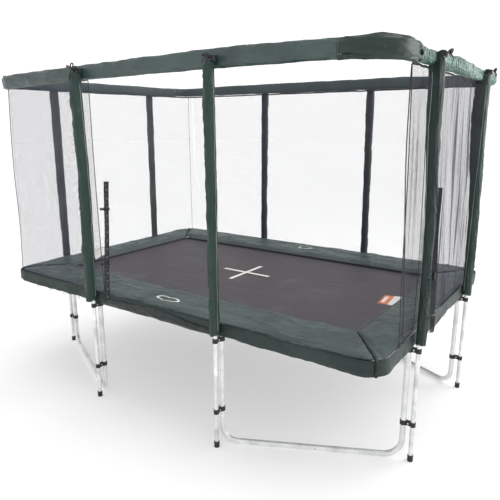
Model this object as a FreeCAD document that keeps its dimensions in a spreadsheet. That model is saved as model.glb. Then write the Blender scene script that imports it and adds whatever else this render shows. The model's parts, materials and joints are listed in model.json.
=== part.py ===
import FreeCAD
import Part
import Sketcher
import math
import os
import re

# Rectangular garden trampoline with a netted enclosure.
# Millimetres, +Z up, origin on the ground below the middle of the bed.
# X runs along the long sides, Y along the short sides, and the entrance is in the -Y side.

DIMENSIONS = {
    # bed frame: a rounded rectangle of round tube
    "frame_half_length": 1806,
    "frame_half_width": 1230,
    "frame_height": 916,
    "frame_tube_radius": 24,
    "frame_tube_wall": 2,
    "frame_bend_radius": 150,
    "frame_plug_length": 40,
    "lip_length": 6,
    "slip_clearance": 0.25,
    "piece_gap": 1,
    # U-shaped legs, one across each corner
    "leg_station": 650,
    "leg_tube_radius": 21,
    "leg_tube_wall": 1.5,
    "leg_bend_radius": 125,
    "leg_joint_height": 210,
    "leg_plug_length": 80,
    "leg_screw_height": 248,
    "leg_top_height": 884,
    "socket_radius": 24.5,
    "socket_bottom_height": 812,
    "socket_top_height": 904,
    "screw_radius": 2.4,
    "screw_hole_radius": 2.6,
    "screw_head_radius": 5.5,
    "screw_head_height": 3.5,
    # net poles, each outside one leg upright
    "pole_offset": 66,
    "pole_radius": 16,
    "pole_wall": 1.5,
    "pole_top_height": 2712,
    "foot_cap_height": 46,
    "foot_cap_wall": 4,
    "pole_sleeve_radius": 29,
    "pole_sleeve_bore_radius": 17,
    "pole_sleeve_bottom_height": 884,
    "pole_sleeve_top_height": 2728,
    # clamps between the poles and the legs
    "clamp_height": 34,
    "clamp_wall": 4,
    "clamp_web_width": 18,
    "lower_clamp_height": 285,
    "upper_bracket_height": 834,
    "bolt_radius": 3,
    "bolt_hole_radius": 3.3,
    "bolt_head_radius": 6,
    "bolt_head_height": 4,
    # top rail that joins the pole tops and carries the net
    "rail_half_length": 1812,
    "rail_half_width": 1236,
    "rail_height": 2680,
    "rail_tube_radius": 14,
    "rail_tube_wall": 1.5,
    "rail_bend_radius": 150,
    "rail_sleeve_depth": 56,
    "rail_sleeve_height": 116,
    "rail_sleeve_wall": 3,
    "rail_sleeve_corner_radius": 178,
    "rail_sleeve_inner_radius": 122,
    # bed
    "mat_half_length": 1520,
    "mat_half_width": 944,
    "mat_corner_radius": 70,
    "mat_thickness": 3,
    "bed_height": 922,
    "cross_length": 520,
    "cross_width": 38,
    "cross_thickness": 1,
    "ring_radius": 13,
    "ring_wire_radius": 2,
    "ring_reach": 11,
    "spring_pitch": 100,
    "spring_radius": 11,
    "spring_wire_radius": 1.6,
    "spring_hook_radius": 7,
    "spring_hook_reach": 27,
    "spring_neck_length": 40,
    "spring_hole_radius": 4,
    # safety pad over the springs
    "pad_inner_half_length": 1498,
    "pad_inner_half_width": 834,
    "pad_outer_half_length": 1837,
    "pad_outer_half_width": 1261,
    "pad_inner_radius": 40,
    "pad_outer_radius": 150,
    "pad_bottom_height": 942,
    "pad_top_height": 967,
    "skirt_thickness": 5,
    "skirt_bottom_height": 853,
    # net, its entrance and the small hooks along its hem
    "net_half_length": 1840,
    "net_half_width": 1264,
    "net_corner_radius": 153,
    "net_thickness": 1.5,
    "net_bottom_height": 870,
    "net_top_height": 2618,
    "entry_strap_centre": 520,
    "door_corner": 1080,
    "door_strap_centre": 408,
    "strap_width": 40,
    "strap_thickness": 3,
    "strap_top_height": 1850,
    "toggle_low_height": 1185,
    "toggle_high_height": 1665,
    "toggle_length": 64,
    "toggle_radius": 6,
    "buckle_height": 1288,
    "buckle_length": 60,
    "buckle_width": 46,
    "buckle_depth": 12,
    "hook_pitch": 200,
    "hook_bend_radius": 8,
    "hook_wire_radius": 1.5,
    "hook_bend_height": 845,
    "hook_tip_height": 888,
}

LONG_SIDE_SPRINGS = 28
SHORT_SIDE_SPRINGS = 16
SPRING_REACH = "frame_half_length - frame_tube_radius - mat_half_length"
HALF_SPAN = "sqrt((frame_half_length - leg_station)^2 + (frame_half_width - leg_station)^2) / 2"

X = FreeCAD.Vector(1, 0, 0)
Y = FreeCAD.Vector(0, 1, 0)
Z = FreeCAD.Vector(0, 0, 1)
ALONG_X = FreeCAD.Rotation(Y, 90)
ALONG_Y = FreeCAD.Rotation(X, -90)
BACK_ALONG_X = FreeCAD.Rotation(Y, -90)
BACK_ALONG_Y = FreeCAD.Rotation(X, 90)
SIDES = {"front": ("-", -90), "back": ("", 90), "left": ("-", 180), "right": ("", 0)}
CORNERS = {
    "front_left": (-1, -1, 270),
    "front_right": (1, -1, 0),
    "back_left": (-1, 1, 180),
    "back_right": (1, 1, 90),
}

doc = FreeCAD.newDocument("trampoline")
sheet = doc.addObject("Spreadsheet::Sheet", "dims")
for row, (alias, value) in enumerate(DIMENSIONS.items(), start=1):
    sheet.set(f"A{row}", alias)
    sheet.set(f"B{row}", str(value))
    sheet.setAlias(f"B{row}", alias)
doc.recompute()

nodes = []


# ---------- helpers ----------


def size(expression):
    """The number that an expression of driving dimensions comes to."""
    return float(sheet.evalExpression(expression))


def bound(expression):
    """The expression with the name of every driving dimension pointed at its cell."""
    return re.sub(
        r"[a-z_]+",
        lambda word: f"dims.{word[0]}" if word[0] in DIMENSIONS else word[0],
        expression,
    )


def place(item, x="0", y="0", z="0", turn=None):
    """Turn an object and bind its position to the sheet."""
    item.Placement = FreeCAD.Placement(FreeCAD.Vector(), turn or FreeCAD.Rotation())
    for axis, expression in zip("xyz", (x, y, z)):
        if expression != "0":
            item.setExpression(f"Placement.Base.{axis}", bound(expression))
    return item


def primitive(kind, name, sizes, **where):
    item = doc.addObject(f"Part::{kind}", name)
    for prop, expression in sizes.items():
        item.setExpression(prop, bound(expression))
    return place(item, **where)


def cylinder(name, radius, height, **where):
    return primitive("Cylinder", name, {"Radius": radius, "Height": height}, **where)


def box(name, length, width, height, **where):
    sizes = {"Length": length, "Width": width, "Height": height}
    return primitive("Box", name, sizes, **where)


def bend(name, bend_radius, radius, **where):
    """A quarter of a ring, from its -Y point round to its +X point before it is turned."""
    sizes = {"Radius1": bend_radius, "Radius2": radius, "Angle3": "90"}
    quarter = FreeCAD.Rotation(Z, -90)
    where["turn"] = where.get("turn", FreeCAD.Rotation()) * quarter
    return primitive("Torus", name, sizes, **where)


def fuse(name, items):
    item = doc.addObject("Part::MultiFuse", name)
    item.Shapes = items
    return item


def group(name, items):
    item = doc.addObject("Part::Compound", name)
    item.Links = items
    return item


def cut(name, base, tools, **where):
    item = doc.addObject("Part::Cut", name)
    item.Base = base
    item.Tool = tools[0] if len(tools) == 1 else group(f"{name}_tools", tools)
    return place(item, **where)


def tube(name, radius, wall, length, **where):
    """A hollow round tube along its own +Z."""
    outer = cylinder(f"{name}_outer", radius, length)
    bore = cylinder(f"{name}_bore", f"{radius} - {wall}", f"{length} + 2", z="-1")
    return cut(f"{name}_tube", outer, [bore], **where)


def plug(name, radius, wall, length, **start):
    """The swaged end of a tube, which slips into the next one.

    It starts one lip length inside the tube that carries it, and its +Z points out of that tube."""
    lip = tube(f"{name}_lip", f"{radius} - {wall} / 2", f"2 * {wall}", "lip_length", **start)
    reduced = f"{radius} - {wall} - slip_clearance"
    swage = tube(f"{name}_swage", reduced, wall, f"{length} + lip_length", **start)
    return [lip, swage]


def copy(item, x="0", y="0", z="0", turn=None, angle=0.0):
    """A second placing of a piece, on top of the placing that it already has."""
    twin = doc.addObject("App::Link", f"{item.Name}_copy")
    twin.LinkedObject = item
    twin.LinkTransform = True
    return place(twin, x=x, y=y, z=z, turn=turn or FreeCAD.Rotation(Z, angle))


def node(item, label):
    """Keep this object as a sub-part of the model under its own name."""
    item.Label = label
    nodes.append(item)
    return item


def rounded_slab(name, half_length, half_width, radius, thickness, z):
    """A PartDesign plate, centred on the Z axis, with its four upright edges rounded."""
    body = doc.addObject("PartDesign::Body", name)
    outline = body.newObject("Sketcher::SketchObject", f"{name}_outline")
    plane = [o for o in body.Origin.OriginFeatures if o.Role == "XY_Plane"][0]
    outline.AttachmentSupport = [(plane, "")]
    outline.MapMode = "FlatFace"
    signs = [(-1, -1), (1, -1), (1, 1), (-1, 1)]
    corners = [FreeCAD.Vector(a * size(half_length), b * size(half_width), 0) for a, b in signs]
    for i in range(4):
        outline.addGeometry(Part.LineSegment(corners[i], corners[(i + 1) % 4]), False)
    for i in range(4):
        outline.addConstraint(Sketcher.Constraint("Coincident", i, 2, (i + 1) % 4, 1))
    for i, (a, b) in enumerate(signs):
        for axis, sign, half in (("X", a, half_length), ("Y", b, half_width)):
            rule = Sketcher.Constraint(f"Distance{axis}", -1, 1, i, 1, sign * size(half))
            index = outline.addConstraint(rule)
            outline.setExpression(f"Constraints[{index}]", bound(f"{sign} * ({half})"))
    plate = body.newObject("PartDesign::Pad", f"{name}_plate")
    plate.Profile = outline
    plate.setExpression("Length", bound(thickness))
    doc.recompute()
    upright = [
        f"Edge{i}"
        for i, edge in enumerate(plate.Shape.Edges, start=1)
        if abs(edge.Vertexes[0].Z - edge.Vertexes[-1].Z) > 0.5
    ]
    rounding = body.newObject("PartDesign::Fillet", f"{name}_rounding")
    rounding.Base = (plate, upright)
    rounding.setExpression("Radius", bound(radius))
    body.Tip = rounding
    return place(body, z=z)


def stations():
    """Name, x, y and outward angle of the eight places where a leg upright meets the frame."""
    for side, (sign, angle) in SIDES.items():
        for end, along in (("first", "-leg_station"), ("last", "leg_station")):
            if side in ("front", "back"):
                name = f"{side}_{'left' if end == 'first' else 'right'}"
                yield name, along, f"{sign}frame_half_width", angle
            else:
                name = f"{side}_{'front' if end == 'first' else 'back'}"
                yield name, f"{sign}frame_half_length", along, angle


STATIONS = list(stations())


def at_stations(item, side=""):
    """Copies of a piece at every station, or at the two stations of one side.

    A piece for a station is made about its leg's axis, with +X out of the trampoline."""
    spots = [spot for spot in STATIONS if spot[0].startswith(side)]
    return [copy(item, x, y, angle=angle) for _, x, y, angle in spots]


def at_corners(item, prefix, inset):
    """Copies of an elbow at the four corners of the bed frame or of the top rail."""
    copies = []
    for a, b, angle in CORNERS.values():
        x = f"{a} * ({prefix}_half_length - {inset})"
        y = f"{b} * ({prefix}_half_width - {inset})"
        copies.append(copy(item, x, y, f"{prefix}_height", angle=angle))
    return group(f"{prefix}_elbow_group", copies)


def elbow(name, bend_radius, radius, wall, plug_length):
    """A quarter bend about its own centre with a plug at each end, as it lies at the front right corner."""
    first = {"y": f"-{bend_radius}", "turn": BACK_ALONG_X}
    last = {"x": bend_radius, "turn": ALONG_Y}
    rods = []
    for part, thick, over in (("outer", radius, "0"), ("bore", f"{radius} - {wall}", "1")):
        pieces = [
            bend(f"{name}_{part}_bend", bend_radius, thick),
            cylinder(f"{name}_{part}_first", thick, f"lip_length + {over}", **first),
            cylinder(f"{name}_{part}_last", thick, f"lip_length + {over}", **last),
        ]
        rods.append(fuse(f"{name}_{part}", pieces))
    shell = cut(f"{name}_shell", rods[0], [rods[1]])
    ends = plug(f"{name}_first", radius, wall, plug_length, **first)
    ends += plug(f"{name}_last", radius, wall, plug_length, **last)
    return fuse(name, [shell, *ends])


# ---------- bed frame ----------


def spring_places(side):
    """x and y of the mat-edge end of each spring along one side, and its distance along that side."""
    sign = SIDES[side][0]
    count = LONG_SIDE_SPRINGS if side in ("front", "back") else SHORT_SIDE_SPRINGS
    for i in range(count):
        along = f"{i - (count - 1) / 2} * spring_pitch"
        if side in ("front", "back"):
            yield along, f"{sign}mat_half_width", size(along)
        else:
            yield f"{sign}mat_half_length", along, size(along)


def spring_drills(side, low, high):
    """Cylinders that drill the frame wall facing the mat, for the springs between two distances."""
    drill = cylinder(
        "spring_drill", "spring_hole_radius", "frame_tube_radius",
        x=SPRING_REACH, z="bed_height", turn=ALONG_X,
    )
    angle = SIDES[side][1]
    spots = [spot for spot in spring_places(side) if low < spot[2] < high]
    return [copy(drill, x, y, angle=angle) for x, y, _ in spots]


def make_frame_rails():
    """Two straight tubes along each long side, plugged together in the middle, and one along each end."""
    radius, wall = "frame_tube_radius", "frame_tube_wall"
    half = "frame_half_length - frame_bend_radius - lip_length"
    for side in ("front", "back"):
        line = {"y": f"{SIDES[side][0]}frame_half_width", "z": "frame_height", "turn": ALONG_X}
        for hand, start in (("left", f"-({half})"), ("right", "piece_gap / 2")):
            name = f"frame_rail_{side}_{hand}"
            length = f"{half} - piece_gap / 2"
            rail = tube(name, radius, wall, length, x=start, **line)
            if hand == "left":
                swage = plug(name, radius, wall, "frame_plug_length", x="-lip_length - piece_gap / 2", **line)
                rail = fuse(f"{name}_swaged", [rail, *swage])
            drills = spring_drills(side, size(start), size(f"{start} + {length}"))
            node(cut(name, rail, drills), name)
    half = "frame_half_width - frame_bend_radius - lip_length"
    for side in ("left", "right"):
        name = f"frame_rail_{side}"
        x = f"{SIDES[side][0]}frame_half_length"
        spot = {"x": x, "y": f"-({half})", "z": "frame_height", "turn": ALONG_Y}
        rail = tube(name, radius, wall, f"2 * ({half})", **spot)
        node(cut(name, rail, spring_drills(side, -size(half), size(half))), name)


def make_frame_elbows():
    corner = elbow(
        "frame_elbow", "frame_bend_radius", "frame_tube_radius", "frame_tube_wall", "frame_plug_length"
    )
    node(at_corners(corner, "frame", "frame_bend_radius"), "frame_elbows")


def make_leg_sockets():
    """Short tubes welded under the frame, saddle cut to it, that hold the tops of the legs."""
    wall = "socket_radius - leg_tube_radius - slip_clearance"
    stub = tube(
        "leg_socket", "socket_radius", f"({wall})",
        "socket_top_height - socket_bottom_height", z="socket_bottom_height",
    )
    saddle = cylinder(
        "leg_socket_saddle", "frame_tube_radius", "4 * socket_radius",
        y="-2 * socket_radius", z="frame_height", turn=ALONG_Y,
    )
    socket = cut("leg_socket_cut", stub, [saddle])
    node(group("leg_socket_group", at_stations(socket)), "leg_sockets")


# ---------- legs ----------
# A leg is made in its own frame: origin on the ground below the middle of its base bar,
# +X along the bar and -Y out of the trampoline.


def leg_bend(name, radius, over):
    """Half of a leg's base as a solid rod: a bar from the middle, a bend and a short upright."""
    centre = "leg_tube_radius + leg_bend_radius"
    run = cylinder(
        f"{name}_run", radius, f"{HALF_SPAN} - leg_bend_radius + {over}",
        x=f"-{over}", z="leg_tube_radius", turn=ALONG_X,
    )
    turned = bend(
        f"{name}_bend", "leg_bend_radius", radius,
        x=f"{HALF_SPAN} - leg_bend_radius", z=centre, turn=BACK_ALONG_Y,
    )
    rise = cylinder(f"{name}_rise", radius, f"leg_joint_height - ({centre}) + {over}", x=HALF_SPAN, z=centre)
    return fuse(name, [run, turned, rise])


def leg_drill(x, z, side):
    """A drill from a leg tube's axis through its -Y or +Y wall."""
    turn = BACK_ALONG_Y if side == "-" else ALONG_Y
    return cylinder("leg_drill", "screw_hole_radius", "leg_tube_radius + 2", x=x, z=z, turn=turn)


def leg_half(name, plugged):
    """Half of a leg's base. The plugged half is made with -Y inwards, since it is turned round."""
    radius, wall = "leg_tube_radius", "leg_tube_wall"
    bore = leg_bend(f"{name}_bore", f"{radius} - {wall}", "1")
    shell = cut(f"{name}_shell", leg_bend(f"{name}_outer", radius, "0"), [bore])
    top = {"x": HALF_SPAN, "z": "leg_joint_height - lip_length"}
    parts = [shell, *plug(f"{name}_top", radius, wall, "leg_plug_length", **top)]
    side, screw_x = "-", "leg_plug_length / 2"
    if plugged:
        side, screw_x = "+", "-leg_plug_length / 2"
        end = {"x": "lip_length", "z": radius, "turn": BACK_ALONG_X}
        parts += plug(f"{name}_end", radius, wall, "leg_plug_length", **end)
    drills = [leg_drill(HALF_SPAN, "leg_screw_height", side), leg_drill(screw_x, radius, side)]
    return cut(name, fuse(f"{name}_joined", parts), drills)


def leg_uprights():
    """The two straight uprights of a leg, which slip over the plugs of its base."""
    pair = []
    for sign in ("-", ""):
        x = f"{sign}({HALF_SPAN})"
        stem = tube(
            "leg_upright", "leg_tube_radius", "leg_tube_wall",
            "leg_top_height - leg_joint_height - piece_gap", x=x, z="leg_joint_height + piece_gap",
        )
        pair.append(cut("leg_upright_drilled", stem, [leg_drill(x, "leg_screw_height", "-")]))
    return group("leg_upright_pair", pair)


def leg_screws():
    """A screw through each joint of a leg."""
    shank_length = "2 * leg_tube_wall + 4"
    head = cylinder("screw_head", "screw_head_radius", "screw_head_height", z="leg_tube_radius")
    shank = cylinder("screw_shank", "screw_radius", shank_length, z=f"leg_tube_radius - ({shank_length})")
    screw = fuse("leg_screw", [head, shank])
    joints = [
        (f"-({HALF_SPAN})", "leg_screw_height"),
        (HALF_SPAN, "leg_screw_height"),
        ("leg_plug_length / 2", "leg_tube_radius"),
    ]
    return group("leg_screw_set", [copy(screw, x, z=z, turn=BACK_ALONG_Y) for x, z in joints])


def make_legs():
    plugged = copy(leg_half("leg_half_plugged", True), angle=180)
    base = group("leg_base", [leg_half("leg_half_open", False), plugged])
    uprights = leg_uprights()
    screws = leg_screws()
    run = size("frame_half_length - leg_station")
    rise = size("frame_half_width - leg_station")
    all_screws = []
    for label, (a, b, _) in CORNERS.items():
        middle = {
            "x": f"{a} * (frame_half_length + leg_station) / 2",
            "y": f"{b} * (frame_half_width + leg_station) / 2",
            "angle": math.degrees(math.atan2(a * rise, -b * run)),
        }
        node(group(f"base_{label}", [copy(base, **middle)]), f"leg_base_{label}")
        node(group(f"uprights_{label}", [copy(uprights, **middle)]), f"leg_uprights_{label}")
        all_screws.append(copy(screws, **middle))
    node(group("leg_screw_group", all_screws), "leg_screws")


# ---------- net poles and their clamps ----------
# These pieces are made at a station: origin on the ground below a leg upright, +X outwards.


def make_net_poles():
    """Eight upright poles, drilled through for the bolts that hold the top rail."""
    pole = tube(
        "net_pole", "pole_radius", "pole_wall", "pole_top_height - foot_cap_wall",
        x="pole_offset", z="foot_cap_wall",
    )
    start = "pole_offset - pole_radius - 2"
    drill = rail_bolt_drill("pole_drill", "bolt_hole_radius", start, "2 * pole_radius + 4")
    drilled = cut("net_pole_drilled", pole, [drill])
    for name, x, y, angle in STATIONS:
        node(group(f"pole_{name}", [copy(drilled, x, y, angle=angle)]), f"net_pole_{name}")


def rail_bolt_drill(name, radius, start, length):
    return cylinder(name, radius, length, x=start, z="rail_height", turn=ALONG_X)


def make_pole_sleeves():
    """Foam and cover round each pole, with a hole for the rail bolt: two in a node, side by side."""
    sleeve = tube(
        "pole_sleeve", "pole_sleeve_radius", "(pole_sleeve_radius - pole_sleeve_bore_radius)",
        "pole_sleeve_top_height - pole_sleeve_bottom_height", x="pole_offset", z="pole_sleeve_bottom_height",
    )
    start = "pole_offset - pole_sleeve_radius - 2"
    drill = rail_bolt_drill("sleeve_drill", "bolt_head_radius + 1", start, "2 * pole_sleeve_radius + 4")
    pierced = cut("pole_sleeve_pierced", sleeve, [drill])
    for side in SIDES:
        node(group(f"sleeves_{side}", at_stations(pierced, side)), f"pole_sleeves_{side}")


def make_foot_caps():
    cup = cylinder("foot_cup", "pole_radius + foot_cap_wall", "foot_cap_height", x="pole_offset")
    radius = "pole_radius + slip_clearance"
    well = cylinder("foot_well", radius, "foot_cap_height", x="pole_offset", z="foot_cap_wall")
    node(group("foot_cap_group", at_stations(cut("foot_cap", cup, [well]))), "pole_foot_caps")


def clamp(name, leg_radius, height):
    """Two rings and a web that tie a pole to the leg beside it, with a hole for the bolt in the web."""
    low = f"{height} - clamp_height / 2"
    rings = [
        cylinder(f"{name}_leg_ring", f"{leg_radius} + clamp_wall", "clamp_height", z=low),
        cylinder(f"{name}_pole_ring", "pole_radius + clamp_wall", "clamp_height", x="pole_offset", z=low),
        box(
            f"{name}_web", f"pole_offset - pole_radius - {leg_radius}", "clamp_web_width", "clamp_height",
            x=leg_radius, y="-clamp_web_width / 2", z=low,
        ),
    ]
    over = f"{low} - 1"
    bores = [
        cylinder(f"{name}_leg_bore", f"{leg_radius} + slip_clearance", "clamp_height + 2", z=over),
        cylinder(
            f"{name}_pole_bore", "pole_radius + slip_clearance", "clamp_height + 2", x="pole_offset", z=over
        ),
        cylinder(
            f"{name}_bolt_bore", "bolt_hole_radius", "clamp_web_width + 2",
            x=clamp_bolt_x(leg_radius), y="-clamp_web_width / 2 - 1", z=height, turn=ALONG_Y,
        ),
    ]
    return cut(name, fuse(f"{name}_rings", rings), bores)


def clamp_bolt_x(leg_radius):
    """The middle of a clamp's web."""
    return f"({leg_radius} + pole_offset - pole_radius) / 2"


def bolt(name, length):
    """A hexagon bolt along +Z with its head below the start and its nut at the end of its length."""
    shank = cylinder(f"{name}_shank", "bolt_radius", f"{length} + bolt_head_height + 2")
    ends = []
    for part, z in (("head", "-bolt_head_height"), ("nut", length)):
        prism = doc.addObject("Part::Prism", f"{name}_{part}")
        prism.Polygon = 6
        prism.setExpression("Circumradius", bound("bolt_head_radius"))
        prism.setExpression("Height", bound("bolt_head_height"))
        ends.append(place(prism, z=z))
    return fuse(name, [shank, *ends])


def make_clamps():
    lower = clamp("pole_lower_clamp", "leg_tube_radius", "lower_clamp_height")
    upper = clamp("pole_upper_bracket", "socket_radius", "upper_bracket_height")
    node(group("lower_clamp_group", at_stations(lower)), "pole_lower_clamps")
    node(group("upper_bracket_group", at_stations(upper)), "pole_upper_brackets")
    through = bolt("clamp_bolt", "clamp_web_width")
    bolts = []
    heights = {"leg_tube_radius": "lower_clamp_height", "socket_radius": "upper_bracket_height"}
    for radius, height in heights.items():
        x = clamp_bolt_x(radius)
        bolts += at_stations(copy(through, x, "-clamp_web_width / 2", height, turn=ALONG_Y))
    node(group("clamp_bolt_group", bolts), "clamp_bolts")


# ---------- top rail ----------


def make_top_rail():
    """Four straight tubes and four plugged elbows, with a hole at every pole."""
    radius, wall = "rail_tube_radius", "rail_tube_wall"
    inset = "rail_half_length - frame_half_length"
    drill = rail_bolt_drill("rail_drill", "bolt_hole_radius", f"{inset} - {radius} - 2", f"2 * {radius} + 4")
    for side, (sign, _) in SIDES.items():
        name = f"top_rail_{side}"
        if side in ("front", "back"):
            half, turn = "(rail_half_length - rail_bend_radius - lip_length)", ALONG_X
            spot = {"x": f"-{half}", "y": f"{sign}rail_half_width"}
        else:
            half, turn = "(rail_half_width - rail_bend_radius - lip_length)", ALONG_Y
            spot = {"x": f"{sign}rail_half_length", "y": f"-{half}"}
        rail = tube(name, radius, wall, f"2 * {half}", z="rail_height", turn=turn, **spot)
        node(cut(name, rail, at_stations(drill, side)), name)
    corner = elbow("rail_elbow", "rail_bend_radius", radius, wall, "frame_plug_length")
    node(at_corners(corner, "rail", "rail_bend_radius"), "top_rail_elbows")


def make_rail_bolts():
    """Long bolts from the outside of each pole to the inside of the top rail."""
    start = "rail_half_length - frame_half_length - rail_tube_radius"
    length = f"pole_offset + pole_radius - ({start})"
    head_face = "pole_offset + pole_radius"
    outside_in = copy(bolt("rail_bolt", length), head_face, z="rail_height", turn=BACK_ALONG_X)
    node(group("rail_bolt_group", at_stations(outside_in)), "rail_bolts")


def mitred_sides(blank, inner, outer):
    """The four sides of a ring-shaped blank, cut apart along the lines through its corners.

    Inner and outer are the half length and half width of the ring's two rectangles."""
    pieces = {}
    for side, (_, angle) in SIDES.items():
        along, across = (0, 1) if side in ("front", "back") else (1, 0)
        sizes = {
            "Xmin": f"-({inner[along]} - piece_gap / 2)",
            "Xmax": f"{inner[along]} - piece_gap / 2",
            "X2min": f"-({outer[along]} - piece_gap / 2)",
            "X2max": f"{outer[along]} - piece_gap / 2",
            "Ymin": inner[across],
            "Ymax": outer[across],
            "Zmin": "0",
            "Z2min": "0",
            "Zmax": "pole_top_height + 100",
            "Z2max": "pole_top_height + 100",
        }
        turn = FreeCAD.Rotation(Z, angle - 90)
        wedge = primitive("Wedge", f"{blank.Name}_{side}_wedge", sizes, turn=turn)
        pieces[side] = doc.addObject("Part::Common", f"{blank.Name}_{side}")
        pieces[side].Base = blank
        pieces[side].Tool = wedge
    return pieces


def ring_blank(name, outer, inner, radii, height, z):
    """A flat frame between two rounded rectangles."""
    plate = rounded_slab(f"{name}_plate", *outer, radii[0], height, z)
    window = rounded_slab(f"{name}_window", *inner, radii[1], f"{height} + 2", f"{z} - 1")
    return cut(name, plate, [window])


def make_rail_sleeves():
    """Hollow padded covers round the top rail, mitred at the corners, with a hole at every pole."""
    reach, wall = "rail_sleeve_depth / 2", "rail_sleeve_wall"
    low, radius = "rail_height - rail_sleeve_height / 2", "rail_sleeve_corner_radius"
    outer = (f"rail_half_length + {reach}", f"rail_half_width + {reach}")
    inner = (f"rail_half_length - {reach}", f"rail_half_width - {reach}")
    shell = ring_blank(
        "rail_sleeve_shell", outer, inner, (radius, "rail_sleeve_inner_radius"), "rail_sleeve_height", low
    )
    hollow = ring_blank(
        "rail_sleeve_hollow",
        tuple(f"{half} - {wall}" for half in outer),
        tuple(f"{half} + {wall}" for half in inner),
        (f"{radius} - {wall}", f"rail_sleeve_inner_radius + {wall}"),
        f"rail_sleeve_height - 2 * {wall}",
        f"{low} + {wall}",
    )
    drill = rail_bolt_drill("rail_sleeve_drill", "bolt_hole_radius", "0", "pole_offset")
    blank = cut("rail_sleeve_blank", shell, [hollow, *at_stations(drill)])
    bends = ("rail_half_length - rail_bend_radius", "rail_half_width - rail_bend_radius")
    for side, piece in mitred_sides(blank, bends, outer).items():
        node(piece, f"rail_sleeve_{side}")


# ---------- bed ----------


def make_mat():
    half_thick = "mat_thickness / 2"
    mat = rounded_slab(
        "mat_plate", "mat_half_length", "mat_half_width", "mat_corner_radius", "mat_thickness",
        f"bed_height - {half_thick}",
    )
    node(mat, "mat")
    top = f"bed_height + {half_thick}"
    strips = [
        box(
            f"cross_{x_size}", x_size, y_size, "cross_thickness",
            x=f"-{x_size} / 2", y=f"-{y_size} / 2", z=top,
        )
        for x_size, y_size in (("cross_length", "cross_width"), ("cross_width", "cross_length"))
    ]
    node(fuse("mat_cross_strips", strips), "mat_cross")


def make_springs():
    """Steel springs round the mat, and the rings sewn into its hem that they hook on to.

    A spring's own frame starts at the mat's edge, with +X towards the frame."""
    wire = "spring_wire_radius"
    start = "spring_hook_reach + spring_hook_radius"
    length = f"{SPRING_REACH} - ({start}) - spring_neck_length"
    coil = tube("spring_coil", "spring_radius", f"2 * {wire}", length, x=start, turn=ALONG_X)
    hook = primitive(
        "Torus", "spring_hook", {"Radius1": "spring_hook_radius", "Radius2": wire},
        x="spring_hook_reach", turn=ALONG_Y,
    )
    bar_length = f"2 * spring_radius - 2 * {wire}"
    low = f"-spring_radius + {wire}"
    bars = [
        cylinder("spring_bar", wire, bar_length, x=f"{start} + {wire}", z=low),
        cylinder("spring_bar", wire, bar_length, x=f"{start} + {length} - {wire}", z=low),
    ]
    tail = cylinder(
        "spring_tail", wire, "spring_neck_length + 12", x=f"{start} + {length} - {wire}", turn=ALONG_X
    )
    spring = fuse("spring", [coil, hook, *bars, tail])
    radii = {"Radius1": "ring_radius", "Radius2": "ring_wire_radius"}
    ring = primitive("Torus", "mat_ring", radii, x="ring_reach")
    springs, rings = [], []
    for side, (_, angle) in SIDES.items():
        for x, y, _ in spring_places(side):
            springs.append(copy(spring, x, y, "bed_height", angle=angle))
            rings.append(copy(ring, x, y, "bed_height", angle=angle))
    node(group("spring_group", springs), "springs")
    node(group("mat_ring_group", rings), "mat_rings")


def make_pads():
    """Foam pads over the springs with a skirt that hangs outside the frame, mitred at the corners."""
    outer = ("pad_outer_half_length", "pad_outer_half_width")
    inner = ("pad_inner_half_length", "pad_inner_half_width")
    foam = ring_blank(
        "pad_foam", outer, inner, ("pad_outer_radius", "pad_inner_radius"),
        "pad_top_height - pad_bottom_height", "pad_bottom_height",
    )
    behind = tuple(f"{half} - skirt_thickness" for half in outer)
    skirt = ring_blank(
        "pad_skirt", outer, behind, ("pad_outer_radius", "pad_outer_radius - skirt_thickness"),
        "pad_bottom_height + 1 - skirt_bottom_height", "skirt_bottom_height",
    )
    blank = fuse("pad_blank", [foam, skirt])
    for side, piece in mitred_sides(blank, inner, outer).items():
        node(piece, f"pad_{side}")


# ---------- net ----------


def make_nets():
    """Net round the left, back and right with its rounded corners, and the short flap in front that
    the entrance closes against. Each is cut from one thin ring by a block around its stretch."""
    halves, height = ("net_half_length", "net_half_width"), "net_top_height - net_bottom_height"
    ring = ring_blank(
        "net_ring", halves, tuple(f"{half} - net_thickness" for half in halves),
        ("net_corner_radius", "net_corner_radius - net_thickness"), height, "net_bottom_height",
    )
    beyond, gap = "(net_half_length + 1)", "(strap_width / 2 + piece_gap)"
    bend_x = "(net_half_length - net_corner_radius)"
    past_bend, short_of_bend = f"({bend_x} + piece_gap / 2)", f"({bend_x} - piece_gap / 2)"
    stretches = {
        # node: lowest and highest X, lowest and highest Y
        "net_left": (f"-{beyond}", f"-{past_bend}", f"-{beyond}", beyond),
        "net_back": (f"-{short_of_bend}", short_of_bend, "0", beyond),
        "net_right": (past_bend, beyond, f"-door_strap_centre + {gap}", beyond),
        "net_front_flap": (f"-{short_of_bend}", f"-entry_strap_centre - {gap}", f"-{beyond}", "0"),
        "door_net": (past_bend, beyond, "-door_corner", f"-door_strap_centre - {gap}"),
    }
    for name, (low_x, high_x, low_y, high_y) in stretches.items():
        block = box(
            f"{name}_block", f"{high_x} - ({low_x})", f"{high_y} - ({low_y})", height,
            x=low_x, y=low_y, z="net_bottom_height",
        )
        panel = doc.addObject("Part::Common", f"{name}_panel")
        panel.Base = ring
        panel.Tool = block
        node(panel, name)


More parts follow.
